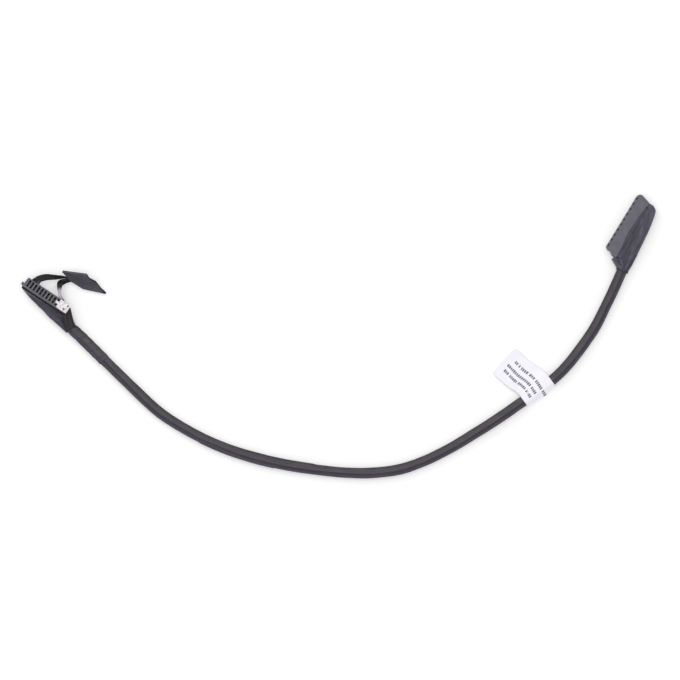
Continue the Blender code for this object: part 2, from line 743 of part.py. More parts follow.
def build_board_housing(plug, finish):
    """Narrow housing with ten slots, a rail along its near side, an ear and a seat for the plate."""
    half = BOARD_THICKNESS / 2
    end = BOARD_WIDTH / 2
    profile = [
        (0, -half),
        (0, half),
        (-BOARD_RAIL_DEPTH, half),
        (-BOARD_RAIL_DEPTH - BOARD_RAIL_STEP, half - BOARD_RAIL_STEP),
        (-BOARD_DEPTH, half - BOARD_RAIL_STEP),
        (-BOARD_DEPTH, -half),
    ]
    housing = bevelled_prism("board_housing", profile, 0, -end, end, plug, finish)

    ear = bmesh.new()
    ear_out, ear_deep, ear_tall = BOARD_EAR
    ear_outline = [
        (-end - ear_out, -BOARD_RAIL_DEPTH - BOARD_RAIL_STEP),
        (-end + ear_out, -BOARD_RAIL_DEPTH + ear_deep / 2),
        (-end + ear_out, -BOARD_RAIL_DEPTH - ear_deep),
        (-end - ear_out / 2, -BOARD_RAIL_DEPTH - ear_deep),
    ]
    ear_top = half - BOARD_RAIL_STEP - EDGE_BEVEL
    add_prism(ear, ear_outline, 2, ear_top - ear_tall, ear_top)
    boolean(housing, cutter("board_housing_ear", ear, plug.matrix()), "UNION")

    seat = bmesh.new()
    seat_deep = PLATE_SHEET + PLATE_GAP
    add_box(seat, (end - PLATE_LENGTH - PLATE_TONGUE[0] - PLATE_GAP, -seat_deep, -PLATE_TONGUE[1] / 2 - PLATE_GAP),
            (2 * end, seat_deep, PLATE_TONGUE[1] / 2 + PLATE_GAP))
    boolean(housing, cutter("board_housing_tongue_seat", seat, plug.matrix()))
    ledge = bmesh.new()
    add_box(ledge, (end - PLATE_LENGTH - PLATE_GAP, -seat_deep, -2 * half), (2 * end, seat_deep, 2 * half))
    boolean(housing, cutter("board_housing_plate_seat", ledge, plug.matrix()))
    cut_contacts(housing, plug, BOARD_CAVITY_WIDTH, BOARD_CAVITY_HEIGHT)
    return housing


def build_plate(plug, finish):
    """Stamped plate over the board plug's cable end, with a tongue, two windows and a bent flange."""
    end = BOARD_WIDTH / 2
    half = BOARD_THICKNESS / 2 - PLATE_SIDE_MARGIN
    top = -PLATE_GAP / 2
    low = top - PLATE_SHEET
    tongue_long, tongue_wide = PLATE_TONGUE
    edge = end - PLATE_LENGTH
    outline = [
        (edge, half),
        (edge, tongue_wide / 2),
        (edge - tongue_long, tongue_wide / 2),
        (edge - tongue_long, -tongue_wide / 2),
        (edge, -tongue_wide / 2),
        (edge, -half),
        (end + PLATE_GAP + PLATE_SHEET, -half),
        (end + PLATE_GAP + PLATE_SHEET, half),
    ]
    bm = bmesh.new()
    add_prism(bm, outline, 1, low, top)
    plate = link_object("end_plate", mesh_from("end_plate", bm, None), finish)
    plate.matrix_world = plug.matrix()

    flange = bmesh.new()
    add_box(flange, (end + PLATE_GAP, -PLATE_FLANGE, -half * 0.8), (end + PLATE_GAP + PLATE_SHEET, top, half * 0.8))
    boolean(plate, cutter("end_plate_flange", flange, plug.matrix()), "UNION")

    windows = bmesh.new()
    window_long, window_wide = PLATE_WINDOW
    for x, z in ((end - 0.3 * PLATE_LENGTH, 0.45 * half), (end - 0.12 * PLATE_LENGTH, -0.55 * half)):
        corner = (x - window_wide / 2, -PLATE_FLANGE, z - window_long / 2)
        add_box(windows, corner, (x + window_wide / 2, PLATE_FLANGE, z + window_long / 2))
    boolean(plate, cutter("end_plate_windows", windows, plug.matrix()))
    return plate


def channel_section(width, height, sheet, floor):
    """A channel open at the top: pairs of local x and z."""
    half = width / 2
    return [
        (-half, floor),
        (half, floor),
        (half, floor + height),
        (half - sheet, floor + height),
        (half - sheet, floor + sheet),
        (sheet - half, floor + sheet),
        (sheet - half, floor + height),
        (-half, floor + height),
    ]


def contact_lengths(plug, recess):
    """Distances behind the mating face of the contact's nose, shoulder, crimp and tail."""
    tail = plug.depth - plug.rear_wall - CONTACT_GAP
    length = tail - recess
    return recess, recess + 0.55 * length, recess + 0.65 * length, tail


def build_contact(name, plug, rank, width, height, sheet, recess, finish):
    """Folded sheet contact: a tall box at the nose and a low crimp channel round the bare wire."""
    crimp_width = TIP_OD + 2 * (TIP_GAP + sheet)
    crimp_floor = -TIP_OD / 2 - TIP_GAP - sheet
    crimp_height = TIP_OD + TIP_GAP + sheet
    box = channel_section(width, height, sheet, -height / 2)
    crimp = channel_section(crimp_width, crimp_height, sheet, crimp_floor)
    nose, shoulder, neck, tail = contact_lengths(plug, recess)
    x = plug.contact_x(rank)
    rings = []
    for section, back in ((box, nose), (box, shoulder), (crimp, neck), (crimp, tail)):
        rings.append([plug.at(x + across, back, up) for across, up in section])
    bm = bmesh.new()
    made = add_lofted_faces(bm, rings)
    for ring in (made[0], made[-1]):
        for corners in CHANNEL_CAP:
            bm.faces.new([ring[corner] for corner in corners])
    return link_object(name, mesh_from(name, bm, None), finish)


def build_wrap(route, finish):
    """Turns of tape on the sleeve, each lapping over the one before it."""
    outer = []
    inner = []
    inner_section = rounded_section(
        SLEEVE_HALF_WIDTH + WRAP_CLEARANCE,
        SLEEVE_HALF_HEIGHT + WRAP_CLEARANCE,
        SLEEVE_CORNER + WRAP_CLEARANCE,
    )
    for turn in range(WRAP_TURNS):
        for share, rise in ((0.02, WRAP_STEP), (0.98, 0.0)):
            place = WRAP_START + WRAP_TURN * (turn + share)
            grow = WRAP_CLEARANCE + WRAP_SHEET + rise
            section = rounded_section(SLEEVE_HALF_WIDTH + grow, SLEEVE_HALF_HEIGHT + grow, SLEEVE_CORNER + grow)
            outer.append(route.section_at(section, place))
            inner.append(route.section_at(inner_section, place))
    return hollow_loft("tape_wrap", outer, inner, finish)


def label_section():
    """Inner and outer points of the label round the sleeve."""
    inner = rounded_section(
        SLEEVE_HALF_WIDTH + LABEL_CLEARANCE,
        SLEEVE_HALF_HEIGHT + LABEL_CLEARANCE,
        SLEEVE_CORNER + LABEL_CLEARANCE,
    )
    grow = LABEL_CLEARANCE + LABEL_SHEET
    outer = rounded_section(SLEEVE_HALF_WIDTH + grow, SLEEVE_HALF_HEIGHT + grow, SLEEVE_CORNER + grow)
    return inner, outer


def build_label(route, finish):
    """Label round the sleeve; its two ends are stuck together and stand out as a flag."""
    inner, outer = label_section()
    left_high = 2 * CORNER_STEPS - 1
    left_low = 2 * CORNER_STEPS
    root = -outer[left_high][0]
    flag_outs = [root + LABEL_TAIL * share for share in (0.12, 0.35, 0.65, 1.0)]
    bm = bmesh.new()
    rows = []
    for station in range(LABEL_STATIONS):
        along = LABEL_WIDTH * (station / (LABEL_STATIONS - 1) - 0.5)
        place = LABEL_PLACE + along
        centre = route.point(place)
        travel, side = route.axes(place)
        middle = route.point(LABEL_PLACE)
        flag_travel, flag_side = route.axes(LABEL_PLACE)
        ring_in = [bm.verts.new(centre + side * x + UP * z) for x, z in inner]
        ring_out = [bm.verts.new(centre + side * x + UP * z) for x, z in outer]
        flag = []
        for out in flag_outs:
            share = (out - root) / LABEL_TAIL
            turn = LABEL_TURN * smooth_step(share * 2)
            forward = along * math.cos(turn) - out * math.sin(turn)
            outward = out * math.cos(turn) + along * math.sin(turn)
            height = (centre.z * (1 - smooth_step(share)) + LABEL_TAIL_END_HEIGHT * smooth_step(share))
            point = middle + flag_travel * forward - flag_side * outward
            flag.append((
                bm.verts.new((point.x, point.y, height + LABEL_SHEET)),
                bm.verts.new((point.x, point.y, height - LABEL_SHEET)),
            ))
        rows.append((ring_in, ring_out, flag))

    count = len(inner)
    for low, high in zip(rows, rows[1:]):
        for i in range(count):
            j = (i + 1) % count
            bm.faces.new((low[0][i], low[0][j], high[0][j], high[0][i]))
            if i != left_high:
                bm.faces.new((low[1][i], low[1][j], high[1][j], high[1][i]))
        for edge, corner in ((0, left_high), (1, left_low)):
            low_line = [low[1][corner]] + [pair[edge] for pair in low[2]]
            high_line = [high[1][corner]] + [pair[edge] for pair in high[2]]
            for k in range(len(low_line) - 1):
                bm.faces.new((low_line[k], low_line[k + 1], high_line[k + 1], high_line[k]))
        bm.faces.new((low[2][-1][0], low[2][-1][1], high[2][-1][1], high[2][-1][0]))
    for ring_in, ring_out, flag in (rows[0], rows[-1]):
        for i in range(count):
            j = (i + 1) % count
            bm.faces.new((ring_in[i], ring_in[j], ring_out[j], ring_out[i]))
        pairs = [(ring_out[left_high], ring_out[left_low])] + flag
        for near, far in zip(pairs, pairs[1:]):
            bm.faces.new((near[0], far[0], far[1], near[1]))
    bmesh.ops.triangulate(bm, faces=bm.faces)
    return link_object("label", mesh_from("label", bm, math.radians(40)), finish)


def tab_normal():
    """Normal of the pull tab's plane, facing up."""
    return Vector((-TAB_SLOPE[0], -TAB_SLOPE[1], 1)).normalized()


def tab_point(plug, x, y):
    """Point of the tab's middle plane, by its place in plan from the plug's face centre."""
    corner_x, corner_y = TAB_CORNERS[0]
    height = TAB_TOP + TAB_SLOPE[0] * (x - corner_x) + TAB_SLOPE[1] * (y - corner_y)
    return plug.origin + Vector((x, y, height))


def strap_stations(plug):
    """Middle points of the ribbon with the direction of its width, from one glued end to the other."""
    seat_z = -(BOARD_THICKNESS / 2 + STRAP_SEAT_GAP + STRAP_SHEET / 2)
    normal = tab_normal()
    ply = normal * ((STRAP_SHEET + STRAP_PLY_GAP) / 2)
    entry, apex = (tab_point(plug, x, y) for x, y in STRAP_IN_TAB)
    heading = (apex - entry).normalized()
    in_tab = normal.cross(heading)

    left = [(plug.at(STRAP_LEFT_SEAT, back, seat_z), -plug.row) for back in STRAP_LEFT_BACKS]
    left.append((plug.at(STRAP_LEFT_SEAT, *STRAP_LEFT_LIP), -plug.row))
    left += [(plug.origin + Vector(offset), Vector(width)) for offset, width in STRAP_LEFT_ARM]
    left.append((entry - ply, in_tab))
    bend = []
    for step in range(STRAP_BEND_STEPS + 1):
        angle = math.pi * step / STRAP_BEND_STEPS
        swing = heading * (ply.length * math.sin(angle)) - ply * math.cos(angle)
        bend.append((apex + swing, in_tab))
    right = [(plug.at(x, STRAP_RIGHT_BACK, seat_z), plug.mate) for x in STRAP_RIGHT_SEATS]
    right += [(plug.origin + Vector(offset), Vector(width)) for offset, width in STRAP_RIGHT_ARM]
    right.append((entry + ply, in_tab))

    return smoothed(left) + bend + list(reversed(smoothed(right)))


def smoothed(stations):
    """Extra stations between the given ones, on a smooth curve."""
    points = [point for point, width in stations]
    widths = [width for point, width in stations]
    steps = STRAP_SMOOTHING * (len(stations) - 1)
    places = [i / STRAP_SMOOTHING for i in range(steps + 1)]
    return [(catmull_rom(points, place), catmull_rom(widths, place)) for place in places]


def build_strap(plug, finish):
    """Ribbon loop from the plug's far side out to the tab and back."""
    stations = strap_stations(plug)
    rings = []
    for index, (point, width) in enumerate(stations):
        before = stations[max(index - 1, 0)][0]
        after = stations[min(index + 1, len(stations) - 1)][0]
        thick = (after - before).cross(width).normalized()
        across = thick.cross(after - before).normalized()
        half = across * (STRAP_WIDTH / 2)
        skin = thick * (STRAP_SHEET / 2)
        rings.append([point - half - skin, point + half - skin, point + half + skin, point - half + skin])
    return solid_loft("pull_strap", rings, finish)


def add_slab(bm, points, low, high):
    """A flat plate through the points, thickened between two offsets."""
    bottom = [bm.verts.new(point + low) for point in points]
    top = [bm.verts.new(point + high) for point in points]
    bm.faces.new(bottom)
    bm.faces.new(list(reversed(top)))
    for i in range(len(points)):
        j = (i + 1) % len(points)
        bm.faces.new((bottom[i], bottom[j], top[j], top[i]))


def build_tab(plug, finish):
    """Folded tape tab: two plies joined along the upper edge, with the strap's bend between them."""
    normal = tab_normal()
    inner = STRAP_SHEET + STRAP_PLY_GAP / 2 + TAB_CLEARANCE
    outer = inner + TAB_SHEET
    corners = [tab_point(plug, x, y) for x, y in TAB_CORNERS]
    front = bmesh.new()
    add_slab(front, corners, normal * inner, normal * outer)
    tab = link_object("pull_tab", mesh_from("pull_tab", front, None), finish)

    back = bmesh.new()
    add_slab(back, corners, normal * -outer, normal * -inner)
    boolean(tab, cutter("pull_tab_back", back, Matrix()), "UNION")

    along = (corners[1] - corners[0]).normalized()
    inward = normal.cross(along)
    if inward.dot(corners[-1] - corners[0]) < 0:
        inward = -inward
    spine = [corners[0], corners[1], corners[1] + inward * TAB_FOLD, corners[0] + inward * TAB_FOLD]
    fold = bmesh.new()
    add_slab(fold, spine, normal * -outer, normal * outer)
    boolean(tab, cutter("pull_tab_fold", fold, Matrix()), "UNION")
    return tab


def main():
    """Builds every piece."""
    clear_scene()
    route = Route()
    board = board_plug()
    battery = battery_plug()
    board_fan, battery_fan = make_fans(board, battery, route)
    fans = (board_fan, battery_fan)

    board_reach = 0.3 * (board.depth - board.rear_wall)
    battery_reach = 0.3 * (battery.depth - battery.rear_wall)
    insulation = wire_finish()
    for rank in range(WIRE_COUNT):
        build_wire(rank, route, (board, battery), fans, (board_reach, battery_reach), insulation)
    build_sleeve(route, sleeve_finish())

    tape = tape_finish()
    board_half = BOARD_THICKNESS / 2 + TAPE_SPACER
    board_end = BOARD_WIDTH / 2 + TAPE_SPACER
    board_frames = fan_frames(board_fan, -board_end, board_end, board_half)
    build_tape("board_tape", board_frames, route, TAPE_ON_SLEEVE, tape)
    battery_far = BATTERY_PITCH * (WIRE_COUNT - 1) / 2 + BATTERY_END_WALL
    battery_near = -battery_far - 2 * BATTERY_KEY_STEP
    battery_frames = plan_frames(battery_fan, battery_near, battery_far, BATTERY_HEIGHT / 2)
    build_tape("battery_tape", battery_frames, route, route.length - TAPE_ON_SLEEVE, tape)
    build_wrap(route, tape)

    plastic = plug_finish()
    build_battery_housing(battery, plastic)
    build_board_housing(board, plastic)
    build_plate(board, steel_finish())
    tin = contact_finish()
    for rank in range(WIRE_COUNT):
        build_contact(f"battery_contact_{rank + 1:02d}", battery, rank, BATTERY_CONTACT_WIDTH,
                      BATTERY_CONTACT_HEIGHT, BATTERY_CONTACT_SHEET, BATTERY_CONTACT_RECESS, tin)
        build_contact(f"board_contact_{rank + 1:02d}", board, rank, BOARD_CONTACT_WIDTH,
                      BOARD_CONTACT_HEIGHT, BOARD_CONTACT_SHEET, BOARD_CONTACT_RECESS, tin)
    build_label(route, label_finish())
    build_strap(board, strap_finish())
    build_tab(board, tape)


def sleeve_finish():
    """Dark glossy plastic film of the sleeve."""
    return material("sleeve_film", (0.065, 0.063, 0.078), 0.35)


def tape_finish():
    """Dark acetate cloth tape."""
    return material("cloth_tape", (0.050, 0.048, 0.060), 0.55)


def plug_finish():
    """Moulded grey-black plug plastic."""
    return material("plug_plastic", (0.135, 0.130, 0.160), 0.45)


def wire_finish():
    """Black wire insulation."""
    return material("wire_insulation", (0.02, 0.02, 0.022), 0.4)


def contact_finish():
    """Tinned contact metal."""
    return material("tinned_contact", (0.72, 0.70, 0.68), 0.3, 1.0)


def steel_finish():
    """Bright stamped steel of the end plate."""
    return material("bright_steel", (0.85, 0.83, 0.84), 0.25, 1.0)


def strap_finish():
    """Black glossy film of the pull strap."""
    return material("strap_film", (0.015, 0.014, 0.017), 0.2)


def label_finish():
    """White label stock."""
    return material("label_paper", (0.86, 0.85, 0.90), 0.6)


main()
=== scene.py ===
import math

import bmesh
import bpy
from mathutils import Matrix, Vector
from mathutils.noise import noise


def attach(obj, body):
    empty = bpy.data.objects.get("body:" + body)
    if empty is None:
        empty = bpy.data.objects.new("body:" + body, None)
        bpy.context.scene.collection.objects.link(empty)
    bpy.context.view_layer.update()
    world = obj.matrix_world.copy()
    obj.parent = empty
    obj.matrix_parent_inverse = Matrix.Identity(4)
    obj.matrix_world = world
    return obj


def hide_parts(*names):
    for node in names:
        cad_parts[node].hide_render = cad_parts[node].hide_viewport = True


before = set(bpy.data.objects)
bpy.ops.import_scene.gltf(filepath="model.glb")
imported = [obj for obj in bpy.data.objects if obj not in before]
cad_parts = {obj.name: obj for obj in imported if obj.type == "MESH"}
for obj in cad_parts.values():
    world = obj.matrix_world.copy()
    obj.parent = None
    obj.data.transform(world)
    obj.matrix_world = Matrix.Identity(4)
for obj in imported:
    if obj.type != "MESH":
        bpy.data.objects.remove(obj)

UP = Vector((0, 0, 1))
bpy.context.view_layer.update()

# Camera: straight down, with a third of a millimetre to each of the picture's 680 pixels
PICTURE_SIDE = 680
PIXEL = 0.001 / 3
ORIGIN_PIXEL = (628.7, 226.5)
CAMERA_HEIGHT = 1.1
SENSOR = 0.036

# Cable: the sleeve's outside, and its route from the board end to the battery end
SLEEVE_HALF_WIDTH = 0.001835
SLEEVE_HALF_HEIGHT = 0.00136
SLEEVE_CORNER = 0.0013
SLEEVE_INSET = 0.00008
ROUTE = (
    (-0.1869, -0.0329), (-0.1828, -0.0365), (-0.1759, -0.0433), (-0.1670, -0.0520),
    (-0.1577, -0.0608), (-0.1508, -0.0657), (-0.1424, -0.0704), (-0.1341, -0.0740),
    (-0.1259, -0.0767), (-0.1176, -0.0788), (-0.1094, -0.0803), (-0.1011, -0.0814),
    (-0.0928, -0.0821), (-0.0844, -0.0820), (-0.0759, -0.0808), (-0.0674, -0.0778),
    (-0.0592, -0.0737), (-0.0511, -0.0688), (-0.0430, -0.0636), (-0.0368, -0.0593),
    (-0.0305, -0.0548), (-0.0247, -0.0504), (-0.0200, -0.0456), (-0.0155, -0.0398),
    (-0.0112, -0.0334), (-0.0079, -0.0268), (-0.0051, -0.0210), (-0.0019, -0.0136),
)
ROUTE_STEPS = 24
WRAPPED_LIFT = 0.00045
LIFT_RUN = 0.018
LIFT_LEAD = 0.0096
SLEEVE_STEP = 0.0007
AXIS_REACH = 0.0008
RIGHT_SEAM = (0.0585, 0.0840)
LEFT_SEAM = (0.0560, 0.0976)
SEAM_RUN = 0.0004
LEFT_SEAM_START_RUN = 0.03
RIGHT_SEAM_HEIGHT = 0.00016
LEFT_SEAM_HEIGHT = 0.00018

# Tape turns near the board end
WRAP_START = 0.0024
WRAP_TURN = 0.0029
WRAP_TURNS = 5
WRAP_SHEET = 0.00007
WRAP_STEP = 0.00007
WRAP_RINGS = 90
LAP_FIRST = 0.0002
LAP_SPACING = 0.0030
LAP_SLANT = 0.55

# Label
LABEL_PLACE = 0.1794
LABEL_WIDTH = 0.0115
LABEL_TAIL = 0.0132
LABEL_SHEET = 0.00016
LABEL_GAP = 0.00016
LABEL_ROOT = SLEEVE_HALF_WIDTH + LABEL_GAP
LABEL_END = LABEL_ROOT + LABEL_TAIL
LABEL_TURN = math.radians(12)
LABEL_TAIL_END_HEIGHT = 0.0004
LABEL_CORNER = 0.0012
LABEL_SHOULDER = 0.35
LABEL_CREST = 0.45
LABEL_COLUMNS = 25
PRINT_ROWS = (
    (0.00175, 0.0119, (2, 1, 4, 3, 5, 3)),
    (-0.00075, 0.0131, (15, 4)),
    (-0.00280, 0.0128, (3, 5, 5, 4)),
)
PRINT_HEIGHT = 0.00105
PRINT_BAR = 0.00050
PRINT_GAP = 0.00020
PRINT_PAUSE = 0.00045
PRINT_SLANT = 0.08
PRINT_PIVOT = 0.005

# Plugs
BATTERY_DEPTH = 0.0060
BATTERY_HEIGHT = 0.0040
BATTERY_TURN = math.radians(58.6)
BATTERY_HALF_LENGTH = 0.00995
BATTERY_KEY = 0.0014
BOARD_PITCH = 0.00125
BOARD_WIDTH = 0.0166
BOARD_THICKNESS = 0.0034
BOARD_DEPTH = 0.0036
BOARD_END_WALL = 0.0012
BOARD_FACE_CENTRE = (-0.1934, -0.0230, 0.0066)
BOARD_TURN = math.radians(-33.7)
BOARD_TILT = math.radians(18)
WIRE_COUNT = 10
WIRE_PITCH = 0.00075
WIRE_REACH = 1.5 * WIRE_PITCH
TAB_TIP = (-0.1744, -0.0221, 0.0016)
TAB_KNOT = 0.00036

# Pull strap: outer and inner edge of each arm, in millimetres from the board plug's face centre
# Middle of the painted highlight on the strap's falling arm, in plan
STRAP_SHEEN = (-0.1888, -0.0226)
STRAP_SHEET = 0.00014
RIBBON_STEPS = 8
RIBBON_COLUMNS = 6
RIBBON_CUP = 0.06
STRAP_LEFT = (
    ((-5.60, 4.10, -2.6), (-3.10, 2.60, -2.6)),
    ((-5.30, 4.75, -1.2), (-2.75, 3.35, -1.4)),
    ((-4.60, 5.45, -0.6), (-2.30, 4.05, -1.3)),
    ((-3.20, 6.30, -0.5), (-1.80, 4.50, -1.6)),
    ((-1.80, 6.80, -0.7), (-0.80, 4.85, -2.0)),
    ((0.00, 7.03, -1.0), (0.20, 5.05, -2.4)),
    ((2.40, 6.80, -2.4), (2.50, 5.23, -3.7)),
    ((5.00, 6.50, -3.9), (4.60, 5.55, -4.8)),
    ((6.20, 6.20, -4.9), (6.10, 5.75, -5.3)),
    ((7.60, 5.90, -5.1), (7.40, 5.40, -5.6)),
)
STRAP_RIGHT = (
    ((4.95, -2.10, -2.2), (5.95, -2.60, -2.2)),
    ((4.75, -1.60, -1.2), (5.75, -1.75, -1.2)),
    ((3.87, -0.50, -1.5), (5.07, -0.40, -1.2)),
    ((3.54, 0.84, -2.0), (4.76, 0.46, -1.6)),
    ((3.25, 2.37, -2.5), (4.66, 1.68, -2.1)),
    ((3.12, 3.72, -3.0), (4.76, 2.62, -2.7)),
    ((3.30, 4.49, -3.5), (4.94, 3.21, -3.5)),
    ((3.87, 5.15, -4.1), (5.40, 3.64, -4.3)),
    ((5.02, 5.50, -4.7), (6.30, 4.15, -5.2)),
    ((6.17, 5.68, -5.1), (7.40, 4.45, -5.9)),
    ((7.30, 5.80, -5.0), (8.60, 4.60, -5.7)),
)

# Tape folded over the steel end: near and far edge in millimetres from the face centre
FOLD = (
    ((5.85, -6.15, 0.1), (7.60, -3.60, -0.9)),
    ((5.30, -7.00, -0.7), (7.95, -5.20, -1.3)),
    ((4.90, -8.20, -1.6), (8.35, -7.20, -2.0)),
    ((5.30, -9.90, -2.5), (8.80, -8.90, -2.6)),
    ((6.30, -12.10, -3.3), (9.25, -10.30, -3.2)),
)
FOLD_COLUMNS = 10
FOLD_BULGE = 0.0005
FOLD_SIDE = 0.0024
FOLD_SIDE_INSET = 0.0004

# Corner of tape beside the battery plug, in millimetres in plan, and its levels
FLAP = (
    (-5.13, -10.30),
    (-2.95, -10.80),
    (-2.05, -11.30),
    (-2.23, -12.80),
    (-3.13, -15.00),
    (-3.97, -14.10),
    (-5.40, -11.77),
    (-5.90, -11.03),
)
FLAP_LEVELS = ((0.0008, 0.93), (0.0012, 1.0), (0.0033, 1.0), (0.0037, 0.97), (0.0039, 0.90))
FLAP_FALL = 0.25

# Tape lapped on to the battery plug: its edge, as place along the row and distance behind the face
PLUG_LAP_EDGE = (
    (-0.0108, 0.0046),
    (-0.0058, 0.0042),
    (-0.0020, 0.0037),
    (0.0002, 0.0038),
    (0.0041, 0.0040),
    (0.0085, 0.0044),
)
PLUG_LAP_BACK = 0.0050
PLUG_LAP_RISE = 0.00008
PLUG_LAP_SHEET = 0.0001
PLUG_LAP_COLUMNS = 4

# Tape behind each plug
TAPE_OVERLAP = 0.0014
TAPE_SPACER = 0.00035
TAPE_HALF_WIDTH = SLEEVE_HALF_WIDTH + TAPE_SPACER
TAPE_HALF_HEIGHT = SLEEVE_HALF_HEIGHT + TAPE_SPACER
TAPE_ON_SLEEVE = 0.0015
TAPE_SKIN = 0.00018
TAPE_START = 0.0001
TAPE_INSET = 0.00004
TAPE_SINK = 0.00022
POUCH_RINGS = 70
STREAK_SPAN = 6.0
STREAK_APEX = (-0.0019, -0.0152)
STREAK_FIRST = math.radians(40)
STREAK_SWEEP = math.radians(75)
BOARD_BEND = (0.00066, 0.0029)
BOARD_RUN = (0.0068, 0.0030)
BORE_EXIT = 0.0003
FAN_RINGS = 7
FAN_REACH = 0.05
BATTERY_TAPE_EDGES = (
    ((-0.0117, 0.0062), (0.0097, 0.0068)),
    ((-0.0120, 0.0062), (0.0088, 0.0079)),
    ((-0.0122, 0.0062), (0.0058, 0.0087)),
    ((-0.0124, 0.0062), (0.0024, 0.0093)),
    ((-0.0126, 0.0062), (-0.0010, 0.0097)),
    ((-0.0127, 0.0062), (-0.0052, 0.0101)),
    ((-0.0128, 0.0062), (-0.0092, 0.0105)),
)


def smooth_step(share):
    """Eases from 0 to 1."""
    share = min(max(share, 0.0), 1.0)
    return share * share * (3 - 2 * share)


def catmull_rom(points, position):
    """Point on a smooth curve through the points; position counts in points."""
    index = min(int(position), len(points) - 2)
    t = position - index
    before = points[max(index - 1, 0)]
    start = points[index]
    end = points[index + 1]
    after = points[min(index + 2, len(points) - 1)]
    bend = 2 * before - 5 * start + 4 * end - after
    swing = 3 * start - before - 3 * end + after
    return 0.5 * (2 * start + (end - before) * t + bend * t * t + swing * t * t * t)


class Route:
    """The cable's middle line, read by distance from the board end."""

    def __init__(self):
        points = [Vector((x, y, 0)) for x, y in ROUTE]
        steps = ROUTE_STEPS * (len(points) - 1)
        self.line = [catmull_rom(points, i / ROUTE_STEPS) for i in range(steps + 1)]
        self.places = [0.0]
        for before, after in zip(self.line, self.line[1:]):
            self.places.append(self.places[-1] + (after - before).length)
        self.length = self.places[-1]

    def flat_point(self, place):
        """Point of the line in plan."""
        place = min(max(place, 0.0), self.length)
        high = next(i for i, mark in enumerate(self.places) if mark >= place)
        high = max(high, 1)
        share = (place - self.places[high - 1]) / (self.places[high] - self.places[high - 1])
        return self.line[high - 1].lerp(self.line[high], share)

    def lift(self, place):
        """Height of the cable over the table, raised where tape or the label goes round it."""
        wrap_end = WRAP_START + WRAP_TURNS * WRAP_TURN
        label_low = LABEL_PLACE - LABEL_WIDTH / 2
        label_high = LABEL_PLACE + LABEL_WIDTH / 2
        tape_low = self.length - TAPE_ON_SLEEVE
        wrapped = ((0.0, wrap_end), (label_low, label_high), (tape_low, self.length))
        nearest = min(max(low - place, place - high, 0.0) for low, high in wrapped)
        nearest = max(nearest - LIFT_LEAD, 0.0)
        return WRAPPED_LIFT * (1 - smooth_step(nearest / LIFT_RUN))

    def point(self, place):
        """Middle of the cable in space."""
        point = self.flat_point(place)
        point.z = SLEEVE_HALF_HEIGHT + self.lift(place)
        return point

    def axes(self, place):
        """Direction of travel and right-hand side."""
        travel = self.flat_point(place + AXIS_REACH) - self.flat_point(place - AXIS_REACH)
        travel.normalize()
        return travel, travel.cross(UP)


class Plug:
    """One plug's axes: x along its row of contacts, y towards its mate, z up from the row."""

    def __init__(self, origin, row, mate, depth):
        self.origin = origin
        self.row = row
        self.mate = mate
        self.up = row.cross(mate)
        self.depth = depth

    def at(self, x, back, z=0.0):
        """Point in space by local x, distance behind the mating face, and local z."""
        return self.origin + self.row * x - self.mate * back + self.up * z


def battery_plug():
    """The battery plug lies flat with its underside centred on the origin."""
    row = Vector((math.cos(BATTERY_TURN), math.sin(BATTERY_TURN), 0))
    mate = Vector((-math.sin(BATTERY_TURN), math.cos(BATTERY_TURN), 0))
    origin = mate * (BATTERY_DEPTH / 2) + UP * (BATTERY_HEIGHT / 2)
    return Plug(origin, row, mate, BATTERY_DEPTH)


def board_plug():
    """The board plug stands on its wires with its mating face tipped up."""
    row = Vector((math.cos(BOARD_TURN), math.sin(BOARD_TURN), 0))
    away = Vector((-math.sin(BOARD_TURN), math.cos(BOARD_TURN), 0))
    mate = UP * math.cos(BOARD_TILT) + away * math.sin(BOARD_TILT)
    return Plug(Vector(BOARD_FACE_CENTRE), row, mate, BOARD_DEPTH)


def board_contact_x(rank):
    """Place along the board plug's row of one wire's contact; rank 0 is nearest to the cable."""
    first = -BOARD_WIDTH / 2 + BOARD_END_WALL + BOARD_PITCH * (WIRE_COUNT - 1)
    return first - BOARD_PITCH * rank


route = Route()
board = board_plug()
battery = battery_plug()


def add_camera():
    """Looks straight down on the middle of the picture."""
    lens = SENSOR * CAMERA_HEIGHT / (PICTURE_SIDE * PIXEL)
    data = bpy.data.cameras.new("camera")
    data.sensor_width = SENSOR * 1000
    data.lens = lens * 1000
    data.clip_start = 0.01
    data.clip_end = 20
    camera = bpy.data.objects.new("camera", data)
    middle_x = (PICTURE_SIDE / 2 - ORIGIN_PIXEL[0]) * PIXEL
    middle_y = (ORIGIN_PIXEL[1] - PICTURE_SIDE / 2) * PIXEL
    camera.location = (middle_x, middle_y, CAMERA_HEIGHT)
    bpy.context.scene.collection.objects.link(camera)
    bpy.context.scene.camera = camera


def add_node(tree, kind, inputs):
    """New shader node with its inputs linked or set."""
    made = tree.nodes.new("ShaderNode" + kind)
    for name, value in inputs.items():
        if isinstance(value, bpy.types.NodeSocket):
            tree.links.new(value, made.inputs[name])
        else:
            made.inputs[name].default_value = value
    return made


